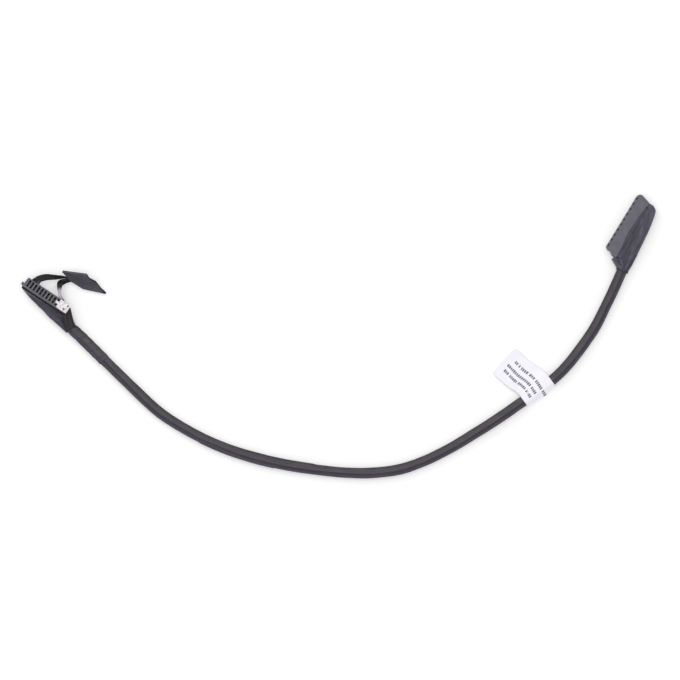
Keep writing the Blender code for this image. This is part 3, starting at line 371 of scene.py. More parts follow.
class Finish:
    """A Principled material with helpers for its colour and bump."""

    def __init__(self, name, roughness, metallic=0.0, specular=0.5, coat=0.0, sheen=0.0):
        self.material = bpy.data.materials.new(name)
        self.material.use_nodes = True
        self.tree = self.material.node_tree
        self.shader = self.tree.nodes["Principled BSDF"]
        for socket, value in (
            ("Roughness", roughness),
            ("Metallic", metallic),
            ("Specular IOR Level", specular),
            ("Coat Weight", coat),
            ("Coat Roughness", 0.15),
            ("Sheen Weight", sheen),
        ):
            self.shader.inputs[socket].default_value = value
        self.place = add_node(self.tree, "TexCoord", {}).outputs["Object"]
        self.height = None

    def feed(self, name, value):
        """Links one of the surface's own inputs."""
        self.tree.links.new(value, self.shader.inputs[name])

    def turned(self, angle, stretch=(1, 1, 1), source=None):
        """The place coordinates turned about Z and stretched."""
        inputs = {"Rotation": (0, 0, angle), "Scale": stretch, "Vector": source or self.place}
        return add_node(self.tree, "Mapping", inputs).outputs["Vector"]

    def grain(self, size, detail=4.0, source=None):
        """Noise with features of about the given size in metres."""
        inputs = {"Scale": 1 / size, "Detail": detail, "Vector": source or self.place}
        return add_node(self.tree, "TexNoise", inputs).outputs["Fac"]

    def bands(self, pitch, direction, source):
        """Even waves with the given pitch in metres."""
        made = add_node(self.tree, "TexWave", {"Scale": 0.31416 / pitch, "Vector": source})
        made.bands_direction = direction
        return made.outputs["Fac"]

    def join(self, operation, first, second):
        """Two values joined by a sum, product or other operation."""
        made = add_node(self.tree, "Math", {0: first, 1: second})
        made.operation = operation
        return made.outputs["Value"]

    def laid(self):
        """The two coordinates that a piece's builder writes over its surface."""
        made = add_node(self.tree, "UVMap", {})
        made.uv_map = "run"
        return made.outputs["UV"]

    def parts(self, vector):
        """First and second value of a vector."""
        made = add_node(self.tree, "SeparateXYZ", {"Vector": vector})
        return made.outputs["X"], made.outputs["Y"]

    def spot(self, point, radius):
        """Rises from 0 at a point in plan to 1 at a distance from it."""
        flat = self.turned(0.0, (1, 1, 0))
        made = add_node(self.tree, "VectorMath", {0: flat, 1: (point[0], point[1], 0)})
        made.operation = "DISTANCE"
        return self.join("DIVIDE", made.outputs["Value"], radius)

    def ramp(self, value, stops):
        """Colours along a value; each stop is a place and a linear colour."""
        made = add_node(self.tree, "ValToRGB", {"Fac": value})
        entries = made.color_ramp.elements
        while len(entries) < len(stops):
            entries.new(0.5)
        for entry, (position, tint) in zip(entries, stops):
            entry.position = position
            entry.color = (*tint, 1)
        return made.outputs["Color"]

    def blend(self, first, second):
        """Product of two colours."""
        made = add_node(self.tree, "Mix", {0: 1.0, 6: first, 7: second})
        made.data_type = "RGBA"
        made.blend_type = "MULTIPLY"
        return made.outputs[2]

    def paint(self, colour):
        """Gives the surface a colour."""
        self.feed("Base Color", colour)

    def colour(self, value, stops):
        """Gives the surface colours along a value."""
        self.paint(self.ramp(value, stops))

    def rough(self, value, low, high):
        """Roughness between two limits along a value."""
        limits = {"To Min": low, "To Max": high, "Value": value}
        self.feed("Roughness", add_node(self.tree, "MapRange", limits).outputs["Result"])

    def bump(self, value, depth):
        """Adds relief of the given depth in metres."""
        inputs = {"Distance": depth, "Strength": 1.0, "Height": value}
        if self.height is not None:
            inputs["Normal"] = self.height
        self.height = add_node(self.tree, "Bump", inputs).outputs["Normal"]
        self.feed("Normal", self.height)


def woven(finish, angle, pitch, depth, source=None):
    """Plain weave of fine threads as relief."""
    turned = finish.turned(angle, source=source)
    warp = finish.bands(pitch, "X", turned)
    weft = finish.bands(pitch, "Y", turned)
    finish.bump(finish.join("MULTIPLY", warp, weft), depth)


def cable_surface(finish, angle, source=None):
    """The cable cloth's wear, weave and lumps."""
    finish.rough(finish.grain(0.003), 0.42, 0.62)
    woven(finish, angle, 0.00022, 0.000012, source)
    finish.bump(finish.grain(0.0016, 3.0), 0.00008)


def tape_surface(finish, angle):
    """The loose tape's wear, weave and lumps."""
    finish.rough(finish.grain(0.0015), 0.40, 0.62)
    woven(finish, angle, 0.00022, 0.000014)
    finish.bump(finish.grain(0.0013, 3.0), 0.00010)


def shade(level):
    """A grey that darkens or lightens another colour when the two are blended."""
    return (level, level, level)


def cloth_colour(finish, across, laid, lapped):
    """Cloth laid along the cable: brownish above, a lapped edge below the middle, and both sides
    darkened with painted shade.
    """
    wander = finish.join("SUBTRACT", finish.grain(0.018, 2.0), 0.5)
    moved = finish.join("ADD", across, finish.join("MULTIPLY", wander, 0.0007))
    share = finish.join("ADD", finish.join("MULTIPLY", moved, 0.5 / SLEEVE_HALF_WIDTH), 0.5)
    # Colours across the cable; the near-black stops at both sides are painted shade
    across_tones_and_side_shade = finish.ramp(share, (
        (0.04, (0.024, 0.023, 0.027)),
        (0.15, (0.060, 0.055, 0.061)),
        (0.50, (0.074, 0.067, 0.078)),
        (0.57, (lapped, lapped * 0.90, lapped * 1.25)),
        (0.72, (0.042, 0.037, 0.054)),
        (0.79, (0.076, 0.069, 0.095)),
        (0.88, (0.064, 0.059, 0.080)),
        (0.97, (0.022, 0.021, 0.025)),
    ))
    patches = finish.grain(0.0055, 3.0, finish.turned(0.0, (1, 2.2, 1), laid))
    tints = finish.ramp(patches, (
        (0.34, (1.22, 1.02, 1.02)),
        (0.46, (0.98, 0.94, 1.04)),
        (0.56, (0.87, 0.86, 0.89)),
        (0.68, (1.18, 1.14, 1.20)),
    ))
    return finish.blend(across_tones_and_side_shade, tints)


def sleeve_finish():
    """Dark woven cloth, worn in patches."""
    finish = Finish("sleeve_cloth", 0.5, specular=0.3)
    laid = finish.laid()
    finish.paint(cloth_colour(finish, finish.parts(laid)[1], laid, 0.036))
    cable_surface(finish, 0.0, laid)
    return finish.material


def wrap_finish():
    """The same cloth in slanting turns, with a painted shadow under each turn's edge and a painted
    highlight along the edge itself.
    """
    finish = Finish("wrap_cloth", 0.5, specular=0.3)
    laid = finish.laid()
    turn, across = finish.parts(laid)
    # Painted shadow just past each turn's edge and a painted highlight just before it
    laps = finish.ramp(finish.join("FRACT", turn, 0.0), (
        (0.02, shade(0.66)),
        (0.10, shade(0.76)),
        (0.24, shade(0.97)),
        (0.80, shade(1.0)),
        (0.96, shade(1.2)),
    ))
    even = finish.turned(0.0, (LAP_SPACING, 1, 1), laid)
    finish.paint(finish.blend(cloth_colour(finish, across, even, 0.060), laps))
    cable_surface(finish, math.radians(-41))
    return finish.material


# Tape without streaks
EVEN = ((0.10, shade(1.0)), (0.90, shade(1.0)))


def drawn_finish(name, angle, colours, streaks=EVEN):
    """Cloth tape drawn over spread wires: painted highlights as light streaks on the ridges, and
    painted shade in the valleys, at the outer edge and near both ends.
    """
    finish = Finish(name, 0.5, specular=0.3, sheen=0.05)
    laid = finish.laid()
    inward, along = finish.parts(laid)
    # Noise stretched along the wires; its light and dark colours below are painted highlight on the
    # ridges and painted shade in the valleys
    ridge_light_and_shade_noise = finish.grain(1.0, 2.0, finish.turned(0.0, (1.1, 0.45, 1.0), laid))
    patches = finish.join("MULTIPLY", finish.grain(0.0022), 0.25)
    value = finish.join("ADD", finish.join("MULTIPLY", ridge_light_and_shade_noise, 0.75), patches)
    body = finish.ramp(value, (
        (0.38, colours[0]),
        (0.46, colours[1]),
        (0.55, colours[2]),
        (0.62, colours[3]),
    ))
    wander = finish.join("MULTIPLY", finish.grain(0.004, 1.0), 0.12)
    streak = finish.join("ADD", finish.join("DIVIDE", inward, STREAK_SPAN), wander)
    # Painted highlight streaks and painted shade across the tape, darkest at its outer edge
    lines = finish.ramp(streak, streaks)
    # Painted shade near both ends of the tape
    ends = finish.ramp(along, (
        (0.04, shade(0.88)),
        (0.13, shade(0.78)),
        (0.28, shade(1.0)),
        (0.93, shade(1.0)),
        (0.985, shade(0.6)),
    ))
    finish.paint(finish.blend(finish.blend(body, lines), ends))
    tape_surface(finish, angle)
    return finish.material


def tab_finish():
    """Dark cloth folded over the strap, blackened at its sharp tip."""
    finish = Finish("tab_cloth", 0.5, specular=0.3, sheen=0.05)
    body = finish.ramp(finish.grain(0.0028), (
        (0.30, (0.056, 0.051, 0.066)),
        (0.52, (0.072, 0.065, 0.086)),
        (0.72, (0.092, 0.084, 0.110)),
    ))
    tip = finish.ramp(finish.spot(TAB_TIP, 0.0012), ((0.55, shade(0.15)), (1.0, shade(1.0))))
    finish.paint(finish.blend(body, tip))
    tape_surface(finish, math.radians(-6))
    return finish.material


def plug_finish(name, colours):
    """Moulded plastic with a fine grain and small patches of wear."""
    finish = Finish(name, 0.45, specular=0.4)
    finish.colour(finish.grain(0.0022), (
        (0.30, colours[0]),
        (0.55, colours[1]),
        (0.78, colours[2]),
    ))
    finish.rough(finish.grain(0.0009), 0.36, 0.56)
    finish.bump(finish.grain(0.00009, 2.0), 0.000006)
    finish.bump(finish.grain(0.0014, 2.0), 0.000015)
    return finish.material


def wire_finish():
    """Black wire insulation with faint draw marks."""
    finish = Finish("wire_cover", 0.4)
    finish.colour(finish.grain(0.002), ((0.3, (0.012, 0.012, 0.014)), (0.7, (0.026, 0.026, 0.030))))
    finish.rough(finish.grain(0.0005), 0.34, 0.5)
    finish.bump(finish.grain(0.0002, 2.0), 0.000006)
    return finish.material


def steel_finish():
    """Bright stamped steel with draw lines, dulled in patches."""
    finish = Finish("stamped_steel", 0.28, metallic=1.0)
    finish.colour(finish.grain(0.0007), (
        (0.34, (0.42, 0.39, 0.41)),
        (0.50, (0.62, 0.57, 0.60)),
        (0.66, (0.80, 0.74, 0.78)),
    ))
    drawn = finish.turned(BOARD_TURN, (1.0, 14.0, 1.0))
    finish.rough(finish.grain(0.0010, source=drawn), 0.30, 0.52)
    finish.bump(finish.grain(0.0008, 3.0, drawn), 0.000006)
    finish.bump(finish.grain(0.0009, 1.0), 0.00003)
    return finish.material


def contact_finish(name, dull, bright):
    """Tinned contact sheet."""
    finish = Finish(name, 0.3, metallic=1.0)
    finish.colour(finish.grain(0.0006), ((0.3, dull), (0.7, bright)))
    finish.rough(finish.grain(0.0003), 0.22, 0.42)
    finish.bump(finish.grain(0.00015, 2.0), 0.000004)
    return finish.material


def strap_finish():
    """Black glossy film with a painted pale highlight along its falling arm."""
    finish = Finish("strap_gloss", 0.22, specular=0.35, coat=0.1)
    mottle = finish.join("MULTIPLY", finish.grain(0.0007), 0.5)
    # Painted highlight: pale near STRAP_SHEEN and fading to black, with a random mottle
    painted_sheen_and_mottle = finish.join("ADD", finish.spot(STRAP_SHEEN, 0.0030), mottle)
    finish.colour(painted_sheen_and_mottle, (
        (0.30, (0.50, 0.47, 0.58)),
        (0.75, (0.32, 0.30, 0.38)),
        (1.00, (0.013, 0.012, 0.015)),
    ))
    finish.rough(finish.grain(0.0008), 0.14, 0.34)
    finish.bump(finish.grain(0.0012, 2.0), 0.00004)
    return finish.material


def label_finish():
    """Matt white label stock with a faint cool cast."""
    finish = Finish("label_stock", 0.6, specular=0.3)
    finish.colour(finish.grain(0.0030), ((0.3, (0.90, 0.885, 0.96)), (0.7, (0.94, 0.925, 0.985))))
    finish.rough(finish.grain(0.0010), 0.5, 0.7)
    finish.bump(finish.grain(0.00012, 2.0), 0.000006)
    finish.bump(finish.grain(0.0035, 2.0), 0.00012)
    return finish.material


def print_finish():
    """Grey thermal print."""
    finish = Finish("label_print", 0.55, specular=0.3)
    finish.colour(finish.grain(0.0004), ((0.35, (0.10, 0.098, 0.118)), (0.62, (0.26, 0.25, 0.29))))
    finish.bump(finish.grain(0.0001, 2.0), 0.000003)
    return finish.material


def add_object(name, bm, finish, smooth=True):
    """Writes a bmesh to a new object with its material."""
    bmesh.ops.recalc_face_normals(bm, faces=bm.faces)
    mesh = bpy.data.meshes.new(name)
    bm.to_mesh(mesh)
    bm.free()
    mesh.materials.append(finish)
    if smooth:
        mesh.shade_smooth()
    made = bpy.data.objects.new(name, mesh)
    bpy.context.scene.collection.objects.link(made)
    return made


def add_skin(piece, thickness, offset):
    """Gives a sheet its thickness."""
    skin = piece.modifiers.new("skin", "SOLIDIFY")
    skin.thickness = thickness
    skin.offset = offset


def flat_section(half_width, half_height, corner, flat_steps, corner_steps):
    """Rounded rectangle as pairs across and up, evenly stepped along its top and underside."""
    corner = min(corner, half_width * 0.98, half_height * 0.98)
    straight = half_width - corner
    points = []
    for turn, start in ((1, 0.0), (-1, math.pi)):
        for step in range(corner_steps + 1):
            angle = start + math.pi / 2 * step / corner_steps
            points.append((
                turn * straight + corner * math.cos(angle),
                turn * (half_height - corner) + corner * math.sin(angle),
            ))
        for step in range(1, flat_steps):
            points.append((turn * straight * (1 - 2 * step / flat_steps), turn * half_height))
        for step in range(corner_steps + 1):
            angle = start + math.pi / 2 * (1 + step / corner_steps)
            points.append((
                -turn * straight + corner * math.cos(angle),
                turn * (half_height - corner) + corner * math.sin(angle),
            ))
    return points


def add_tube(bm, rings, marks):
    """Faces between matching rings, with each point's pair of marks as its surface coordinates."""
    layer = bm.loops.layers.uv.new("run")
    made = [[bm.verts.new(point) for point in ring] for ring in rings]
    count = len(made[0])
    for r in range(len(made) - 1):
        for i in range(count):
            j = (i + 1) % count
            face = bm.faces.new((made[r][i], made[r][j], made[r + 1][j], made[r + 1][i]))
            pairs = (marks[r][i], marks[r][j], marks[r + 1][j], marks[r + 1][i])
            for loop, pair in zip(face.loops, pairs):
                loop[layer].uv = pair
    return made


def seam_steps(place, across):
    """Short laps along the edges where one length of cloth ends on the next."""
    left_side = smooth_step((-across / SLEEVE_HALF_WIDTH - 0.2) / 0.5)
    right_side = smooth_step((across / SLEEVE_HALF_WIDTH - 0.2) / 0.5)
    right = smooth_step((place - RIGHT_SEAM[0]) / SEAM_RUN)
    right *= 1 - smooth_step((place - RIGHT_SEAM[1]) / SEAM_RUN)
    left = smooth_step((place - LEFT_SEAM[0]) / LEFT_SEAM_START_RUN)
    left *= 1 - smooth_step((place - LEFT_SEAM[1]) / SEAM_RUN)
    return right_side * right * RIGHT_SEAM_HEIGHT + left_side * left * LEFT_SEAM_HEIGHT


def sleeve_relief(place, across, up):
    """How far the cloth stands out: wires below it, its lapped edge, its seams and worn lumps."""
    top = smooth_step((up / SLEEVE_HALF_HEIGHT + 0.2) / 0.6)
    lump = noise(Vector((place * 160, across * 500, up * 500))) * 0.00006
    slow = noise(Vector((place * 45, 3.1, 7.7))) * 0.00009
    lap_line = 0.0003 + noise(Vector((place * 30, 0.4, 1.9))) * 0.0005
    lap = (1 - smooth_step((across - lap_line) / 0.00018)) * 0.00010 * top
    ridge = math.cos(across / WIRE_PITCH * math.pi * 2) * 0.00003 * top
    crease = max(0.0, noise(Vector((place * 420, across * 90, 2.2))) - 0.35) * 0.00012
    return lump + slow + lap + ridge - crease + seam_steps(place, across)


def add_cover(name, places, section, relief, run, finish):
    """Closed skin round the cable, with its relief and its marks along the cable."""
    rings = []
    marks = []
    for place in places:
        centre = route.point(place)
        side = route.axes(place)[1]
        ring = []
        mark = []
        for across, up in section:
            outward = (side * across + UP * up).normalized()
            ring.append(centre + side * across + UP * up + outward * relief(place, across, up))
            mark.append((run(place, across, up), across))
        rings.append(ring)
        marks.append(mark)
    bm = bmesh.new()
    made = add_tube(bm, rings, marks)
    bm.faces.new(made[0])
    bm.faces.new(list(reversed(made[-1])))
    return add_object(name, bm, finish)


def sleeve_run(place, across, up):
    """Distance from the board end, for any point of the section."""
    return place


def build_sleeve(finish):
    """The cloth-covered cable between the two tapes."""
    count = round(route.length / SLEEVE_STEP)
    places = [route.length * step / count for step in range(count + 1)]
    half_width = SLEEVE_HALF_WIDTH - SLEEVE_INSET
    section = flat_section(half_width, SLEEVE_HALF_HEIGHT - SLEEVE_INSET, SLEEVE_CORNER, 10, 7)
    return add_cover("cable_cover", places, section, sleeve_relief, sleeve_run, finish)


def wrap_run(place, across, up):
    """Turns of tape counted from the first, along their slant."""
    return (place - LAP_FIRST + across * LAP_SLANT + up * 0.2) / LAP_SPACING


def wrap_relief(place, across, up):
    """How far the tape stands out, rising to the edge of each turn."""
    lap = wrap_run(place, across, up) % 1.0
    step_height = WRAP_STEP * smooth_step(lap / 0.9) * smooth_step((1 - lap) / 0.06)
    lump = noise(Vector((place * 300, across * 500, up * 500))) * 0.00004
    return WRAP_SHEET + step_height + lump


def build_wrap(finish):
    """Slanting turns of tape on the cable next to the board end."""
    section = flat_section(SLEEVE_HALF_WIDTH, SLEEVE_HALF_HEIGHT, SLEEVE_CORNER, 10, 7)
    length = WRAP_TURNS * WRAP_TURN
    places = [WRAP_START + length * step / WRAP_RINGS for step in range(WRAP_RINGS + 1)]
    return add_cover("wrapped_turns", places, section, wrap_relief, wrap_run, finish)


def fan_end_wires(t):
    """Nearest and farthest wire of the board end at t, from the plug's rear to the cable."""
    mouth = route.point(0.0)
    travel, side = route.axes(0.0)
    ends = []
    for rank, column, bend, run in zip((0, WIRE_COUNT - 1), (-1, 1), BOARD_BEND, BOARD_RUN):
        start = board.at(board_contact_x(rank), board.depth + BORE_EXIT)
        knee = start - board.mate * bend
        end = mouth + side * (column * WIRE_REACH)
        lead = end - travel * run
        rest = 1 - t
        point = start * rest ** 3 + knee * (3 * rest * rest * t)
        ends.append(point + lead * (3 * rest * t * t) + end * t ** 3)
    return ends


def board_tape_frames():
    """Centre, width axis, up axis, half width and half height of the tape behind the board plug."""
    end = BOARD_WIDTH / 2 + TAPE_SPACER
    half_height = BOARD_THICKNESS / 2 + TAPE_SPACER
    frames = []
    for back in (board.depth - TAPE_OVERLAP + TAPE_START, board.depth + TAPE_START):
        frames.append((board.at(0, back), -board.row, board.up, end, half_height))
    row_low = board_contact_x(0)
    row_high = board_contact_x(WIRE_COUNT - 1)
    plug_margin = end - abs(row_high - row_low) / 2
    sleeve_margin = TAPE_HALF_WIDTH - WIRE_REACH
    offset = (row_low + row_high) / 2
    for step in range(1, FAN_RINGS + 1):
        t = step / FAN_RINGS
        share = (1 - t) ** 2
        near, far = fan_end_wires(t)
        before = fan_end_wires(t - FAN_REACH)
        after = fan_end_wires(min(t + FAN_REACH, 1))
        width_axis = (far - near).normalized()
        turned = width_axis.cross(after[0] + after[1] - before[0] - before[1]).normalized()
        if turned.dot(board.up) < 0:
            turned = -turned
        up = board.up.lerp(turned, smooth_step(t)).normalized()
        centre = (near + far) / 2 + width_axis * (offset * share)
        half_width = (far - near).length / 2 + plug_margin * share + sleeve_margin * (1 - share)
        half_up = half_height * share + TAPE_HALF_HEIGHT * (1 - share)
        frames.append((centre, width_axis, up, half_width, half_up))
    frames.append(sleeve_frame(TAPE_ON_SLEEVE))
    return frames


def sleeve_frame(place):
    """The tape's ring on the cable."""
    return route.point(place), route.axes(place)[1], UP, TAPE_HALF_WIDTH, TAPE_HALF_HEIGHT


def battery_tape_frames():
    """The same for the tape behind the battery plug, which lies flat."""
    low = -BATTERY_HALF_LENGTH - BATTERY_KEY
    high = BATTERY_HALF_LENGTH
    half_height = BATTERY_HEIGHT / 2
    mouth = route.point(route.length)
    frames = []
    for back in (battery.depth - TAPE_OVERLAP + TAPE_START, battery.depth + TAPE_START):
        centre = battery.at((low + high) / 2, back)
        frames.append((centre, battery.row, UP, (high - low) / 2, half_height))
    for step, (near, far) in enumerate(BATTERY_TAPE_EDGES):
        share = (step + 1) / (len(BATTERY_TAPE_EDGES) + 1)
        near_point = battery.at(*near)
        far_point = battery.at(*far)
        centre = (near_point + far_point) / 2
        centre.z += (mouth.z - centre.z) * share
        half_up = half_height + (TAPE_HALF_HEIGHT - half_height) * share
        width = far_point - near_point
        frames.append((centre, width.normalized(), UP, width.length / 2, half_up))
    frames.append(sleeve_frame(route.length))
    frames.append(sleeve_frame(route.length - TAPE_ON_SLEEVE))
    return frames


def read_frames(frames, position):
    """The ring's frame at a place between the given ones."""
    blended = []
    for slot in range(5):
        blended.append(catmull_rom([one[slot] for one in frames], position))
    centre, width_axis, up, half_width, half_height = blended
    return centre, width_axis.normalized(), up.normalized(), half_width, half_height


def wire_ridges(lines, across_share, along_share):
    """Rounded ridges over the wires that press up under the tape."""
    height = 0.0
    for plug_place, mouth_place, width, tall in lines:
        middle = plug_place + (mouth_place - plug_place) * along_share
        away = (across_share - middle) / width
        height += tall * math.exp(-away * away)
    return height


def fanned_streak(point):
    """Where a point lies among the streaks that spread from the battery tape's mouth."""
    turn = math.atan2(point.y - STREAK_APEX[1], point.x - STREAK_APEX[0])
    return STREAK_SPAN * (turn - STREAK_FIRST) / STREAK_SWEEP


def build_pouch(name, frames, lines, seed, finish, fanned=False):
    """Tape drawn over the spread wires, as a skin with ridges and creases and open ends."""
    rings = []
    marks = []
    for step in range(POUCH_RINGS + 1):
        share = step / POUCH_RINGS
        frame_place = share * (len(frames) - 1)
        centre, width_axis, up, half_width, half_height = read_frames(frames, frame_place)
        rounding = 0.0006 + 0.0009 * share
        section = flat_section(half_width - TAPE_INSET, half_height - TAPE_INSET, rounding, 36, 4)
        fade = smooth_step(share / 0.18) * smooth_step((1 - share) / 0.06)
        ring = []
        mark = []
        for across, rise in section:
            across_share = across / half_width
            facing = 1 if rise > 0 else -1
            flat_part = smooth_step((1 - abs(across_share)) / 0.12)
            body = wire_ridges(lines, across_share, share) * fade * flat_part
            folds = noise(Vector((across_share * 5 + seed, share * 3, facing * 3.0)))
            crease = folds * 0.00016 * fade
            fine = noise(Vector((across_share * 14, share * 9 + seed, facing * 5.0))) * 0.00005
            sunk = 0.0
            if abs(rise) > half_height * 0.5:
                sunk = (body - TAPE_SINK * fade + crease + fine) * facing
            point = centre + width_axis * across + up * (rise + sunk)
            ring.append(point)
            streak = fanned_streak(point) if fanned else (half_width - across) * 1000
            mark.append((streak, share))
        rings.append(ring)
        marks.append(mark)
    bm = bmesh.new()
    add_tube(bm, rings, marks)
    made = add_object(name, bm, finish)
    add_skin(made, TAPE_SKIN, -1)
    return made


def board_offset(x, y, z):
    """Point by its offset in millimetres from the middle of the board plug's face."""
    return board.origin + Vector((x, y, z)) / 1000


def sheet_grid(name, rows, finish, thickness):
    """A curved sheet of the given thickness through rows of points."""
    bm = bmesh.new()
    layer = bm.loops.layers.uv.new("run")
    made = [[bm.verts.new(point) for point in row] for row in rows]
    last = len(rows) - 1
    side = len(rows[0]) - 1
    for r in range(last):
        for i in range(side):
            face = bm.faces.new((made[r][i], made[r][i + 1], made[r + 1][i + 1], made[r + 1][i]))
            for loop, (u, v) in zip(face.loops, ((i, r), (i + 1, r), (i + 1, r + 1), (i, r + 1))):
                loop[layer].uv = (STREAK_SPAN * u / side, v / last)
    piece = add_object(name, bm, finish)
    add_skin(piece, thickness, 0)
    return piece


def smoothed_edges(edges):
    """Facing points on two smoothed edges, with the share of the way along them."""
    steps = RIBBON_STEPS * (len(edges) - 1)
    for step in range(steps + 1):
        position = step / RIBBON_STEPS
        outer = catmull_rom([board_offset(*pair[0]) for pair in edges], position)
        inner = catmull_rom([board_offset(*pair[1]) for pair in edges], position)
        yield step / steps, outer, inner


def ribbon_rows(edges):
    """Rows of points across a ribbon, slightly cupped."""
    rows = []
    for _, outer, inner in smoothed_edges(edges):
        cup = (outer - inner).length * RIBBON_CUP
        row = []
        for column in range(RIBBON_COLUMNS + 1):
            share = column / RIBBON_COLUMNS
            row.append(outer.lerp(inner, share) - UP * (cup * 4 * share * (1 - share)))
        rows.append(row)
    return rows


def build_strap(finish):
    """The two arms of the pull strap, each from the plug's far side to the underside of the tab."""
    left = sheet_grid("strap_left", ribbon_rows(STRAP_LEFT), finish, STRAP_SHEET)
    right = sheet_grid("strap_right", ribbon_rows(STRAP_RIGHT), finish, STRAP_SHEET)
    return left, right


def build_knot(finish):
    """Rolled end of the tape at the tab's sharp tip."""
    bm = bmesh.new()
    bmesh.ops.create_icosphere(bm, subdivisions=3, radius=TAB_KNOT)
    for vert in bm.verts:
        vert.co *= 1 + 0.25 * noise(vert.co * 3000)
        vert.co += Vector(TAB_TIP)
    return add_object("tab_knot", bm, finish)


def build_fold(finish):
    """Tape folded down over the wires at the plug's steel end."""
    rows = []
    for share_down, near, far in smoothed_edges(FOLD):
        row = []
        for column in range(FOLD_COLUMNS + 1):
            share = column / FOLD_COLUMNS
            arch = math.sin(math.pi * min(share_down + 0.15, 1.0))
            rise = FOLD_BULGE * 4 * share * (1 - share) * arch
            crease = noise(Vector((share * 4.0, share_down * 3.0, 9.1))) * 0.00022
            row.append(near.lerp(far, share) + UP * (rise + crease))
        for drop in (0.25, 0.6, 1.0):
            inward = (near - far).normalized() * (FOLD_SIDE_INSET * drop)
            row.append(far + inward - UP * (FOLD_SIDE * drop * (1 - 0.4 * share_down)))
        rows.append(row)
    return sheet_grid("tape_fold", rows, finish, TAPE_SKIN)


def build_flap(finish):
    """Corner of the battery tape that stands out between the housing's end and the cable."""
    bm = bmesh.new()
    layer = bm.loops.layers.uv.new("run")
    middle = sum((Vector((x, y, 0)) for x, y in FLAP), Vector()) / len(FLAP)
    highest = FLAP[0][1]
    lowest = min(y for x, y in FLAP)
    rings = []
    for height, share in FLAP_LEVELS:
        ring = []
        for x, y in FLAP:
            point = middle.lerp(Vector((x, y, 0)), share) / 1000
            fall = FLAP_FALL * (highest - y) / (highest - lowest)
            ring.append(bm.verts.new(point + UP * height * (1 - fall)))
        rings.append(ring)
    for low, high in zip(rings, rings[1:]):
        for i in range(len(FLAP)):
            j = (i + 1) % len(FLAP)
            bm.faces.new((low[i], low[j], high[j], high[i]))
    bm.faces.new(list(reversed(rings[0])))
    bm.faces.new(rings[-1])
    for face in bm.faces:
        for loop in face.loops:
            loop[layer].uv = (fanned_streak(loop.vert.co), 0.5)
    return add_object("tape_corner", bm, finish, smooth=False)


def build_lap(finish):
    """First layer of the battery tape, lapped on to the plug's upper face."""
    rows = []
    steps = RIBBON_STEPS * (len(PLUG_LAP_EDGE) - 1)
    for step in range(steps + 1):
        edge = catmull_rom([Vector(pair) for pair in PLUG_LAP_EDGE], step / RIBBON_STEPS)
        row = []
        for column in range(PLUG_LAP_COLUMNS + 1):
            back = edge.y + (PLUG_LAP_BACK - edge.y) * column / PLUG_LAP_COLUMNS
            row.append(battery.at(edge.x, back, BATTERY_HEIGHT / 2 + PLUG_LAP_RISE))
        rows.append(row)
    return sheet_grid("tape_lap", rows, finish, PLUG_LAP_SHEET)


def label_point(along, out, ply):
    """Point of the label; out runs from the cable's right side over its top to the flag's end."""
    tall = SLEEVE_HALF_HEIGHT + LABEL_GAP
    middle = route.point(LABEL_PLACE)
    travel, side = route.axes(LABEL_PLACE)
    reach = max(out, 0.0)
    share = reach / LABEL_END
    turn = LABEL_TURN * smooth_step((reach - LABEL_ROOT) / LABEL_TAIL * 2)
    forward = along * math.cos(turn) - reach * math.sin(turn)
    outward = reach * math.cos(turn) + along * math.sin(turn)
    if out < 0:
        outward = out
    past_shoulder = abs(out) / LABEL_ROOT - LABEL_SHOULDER
    rounded = 1 - smooth_step(past_shoulder / 2.0)
    if out < LABEL_ROOT * LABEL_CREST:
        rounded = 1 - smooth_step(past_shoulder / (1 - LABEL_SHOULDER)) * 0.45
    drop = smooth_step((out - LABEL_ROOT * LABEL_CREST) / (LABEL_ROOT * 2.2))
    hang = middle.z * 0.55 - LABEL_TAIL_END_HEIGHT
    flag_height = LABEL_TAIL_END_HEIGHT + hang * (1 - smooth_step(share))
    wave = math.sin(share * 5.0 + along * 260) * 0.00010 * smooth_step((share - 0.3) / 0.5)
    top = middle.z + ply * tall * rounded
    height = top * (1 - drop) + (flag_height + wave + ply * LABEL_SHEET / 2) * drop
    along_shift = route.flat_point(LABEL_PLACE + along) - middle
    along_shift.z = 0
    bow = along_shift - travel * along
    base = Vector((middle.x, middle.y, height))
    return base + travel * forward - side * outward + bow * (1 - drop)


def label_outline(along_share, out):
    """Along the cable: narrower towards the flag's rounded end."""
    half = LABEL_WIDTH / 2
    if out > LABEL_END - LABEL_CORNER:
        dip = (out - (LABEL_END - LABEL_CORNER)) / LABEL_CORNER
        half -= LABEL_CORNER * (1 - math.sqrt(max(1 - dip * dip, 0.0)))
    return along_share * half


def build_label(finish):
    """Label round the cable, its two plies meeting in a flag with rounded corners."""
    outs = [-LABEL_ROOT * math.cos(math.pi / 2 * step / 7) for step in range(8)]
    outs += [LABEL_ROOT * math.sin(math.pi / 2 * step / 7) for step in range(1, 8)]
    outs += [LABEL_ROOT + LABEL_TAIL * step / 40 for step in range(1, 34)]
    for step in range(1, 13):
        outs.append(LABEL_END - LABEL_CORNER * 1.3 * (1 - math.sin(math.pi / 2 * step / 12)))
    outs = sorted(set(outs))
    bm = bmesh.new()
    strips = []
    roots = []
    for ply in (1, -1):
        grid = []
        for out in outs:
            row = []
            for column in range(LABEL_COLUMNS):
                share = column / (LABEL_COLUMNS - 1) * 2 - 1
                row.append(bm.verts.new(label_point(label_outline(share, out), out, ply)))
            grid.append(row)
        strips += zip(grid, grid[1:])
        roots.append(grid[0])
    strips.append(roots)
    for low, high in strips:
        for i in range(LABEL_COLUMNS - 1):
            bm.faces.new((low[i], low[i + 1], high[i + 1], high[i]))
    bmesh.ops.remove_doubles(bm, verts=bm.verts, dist=0.000004)
    made = add_object("label_flag", bm, finish)
    add_skin(made, LABEL_SHEET * 0.6, 0)
    return made


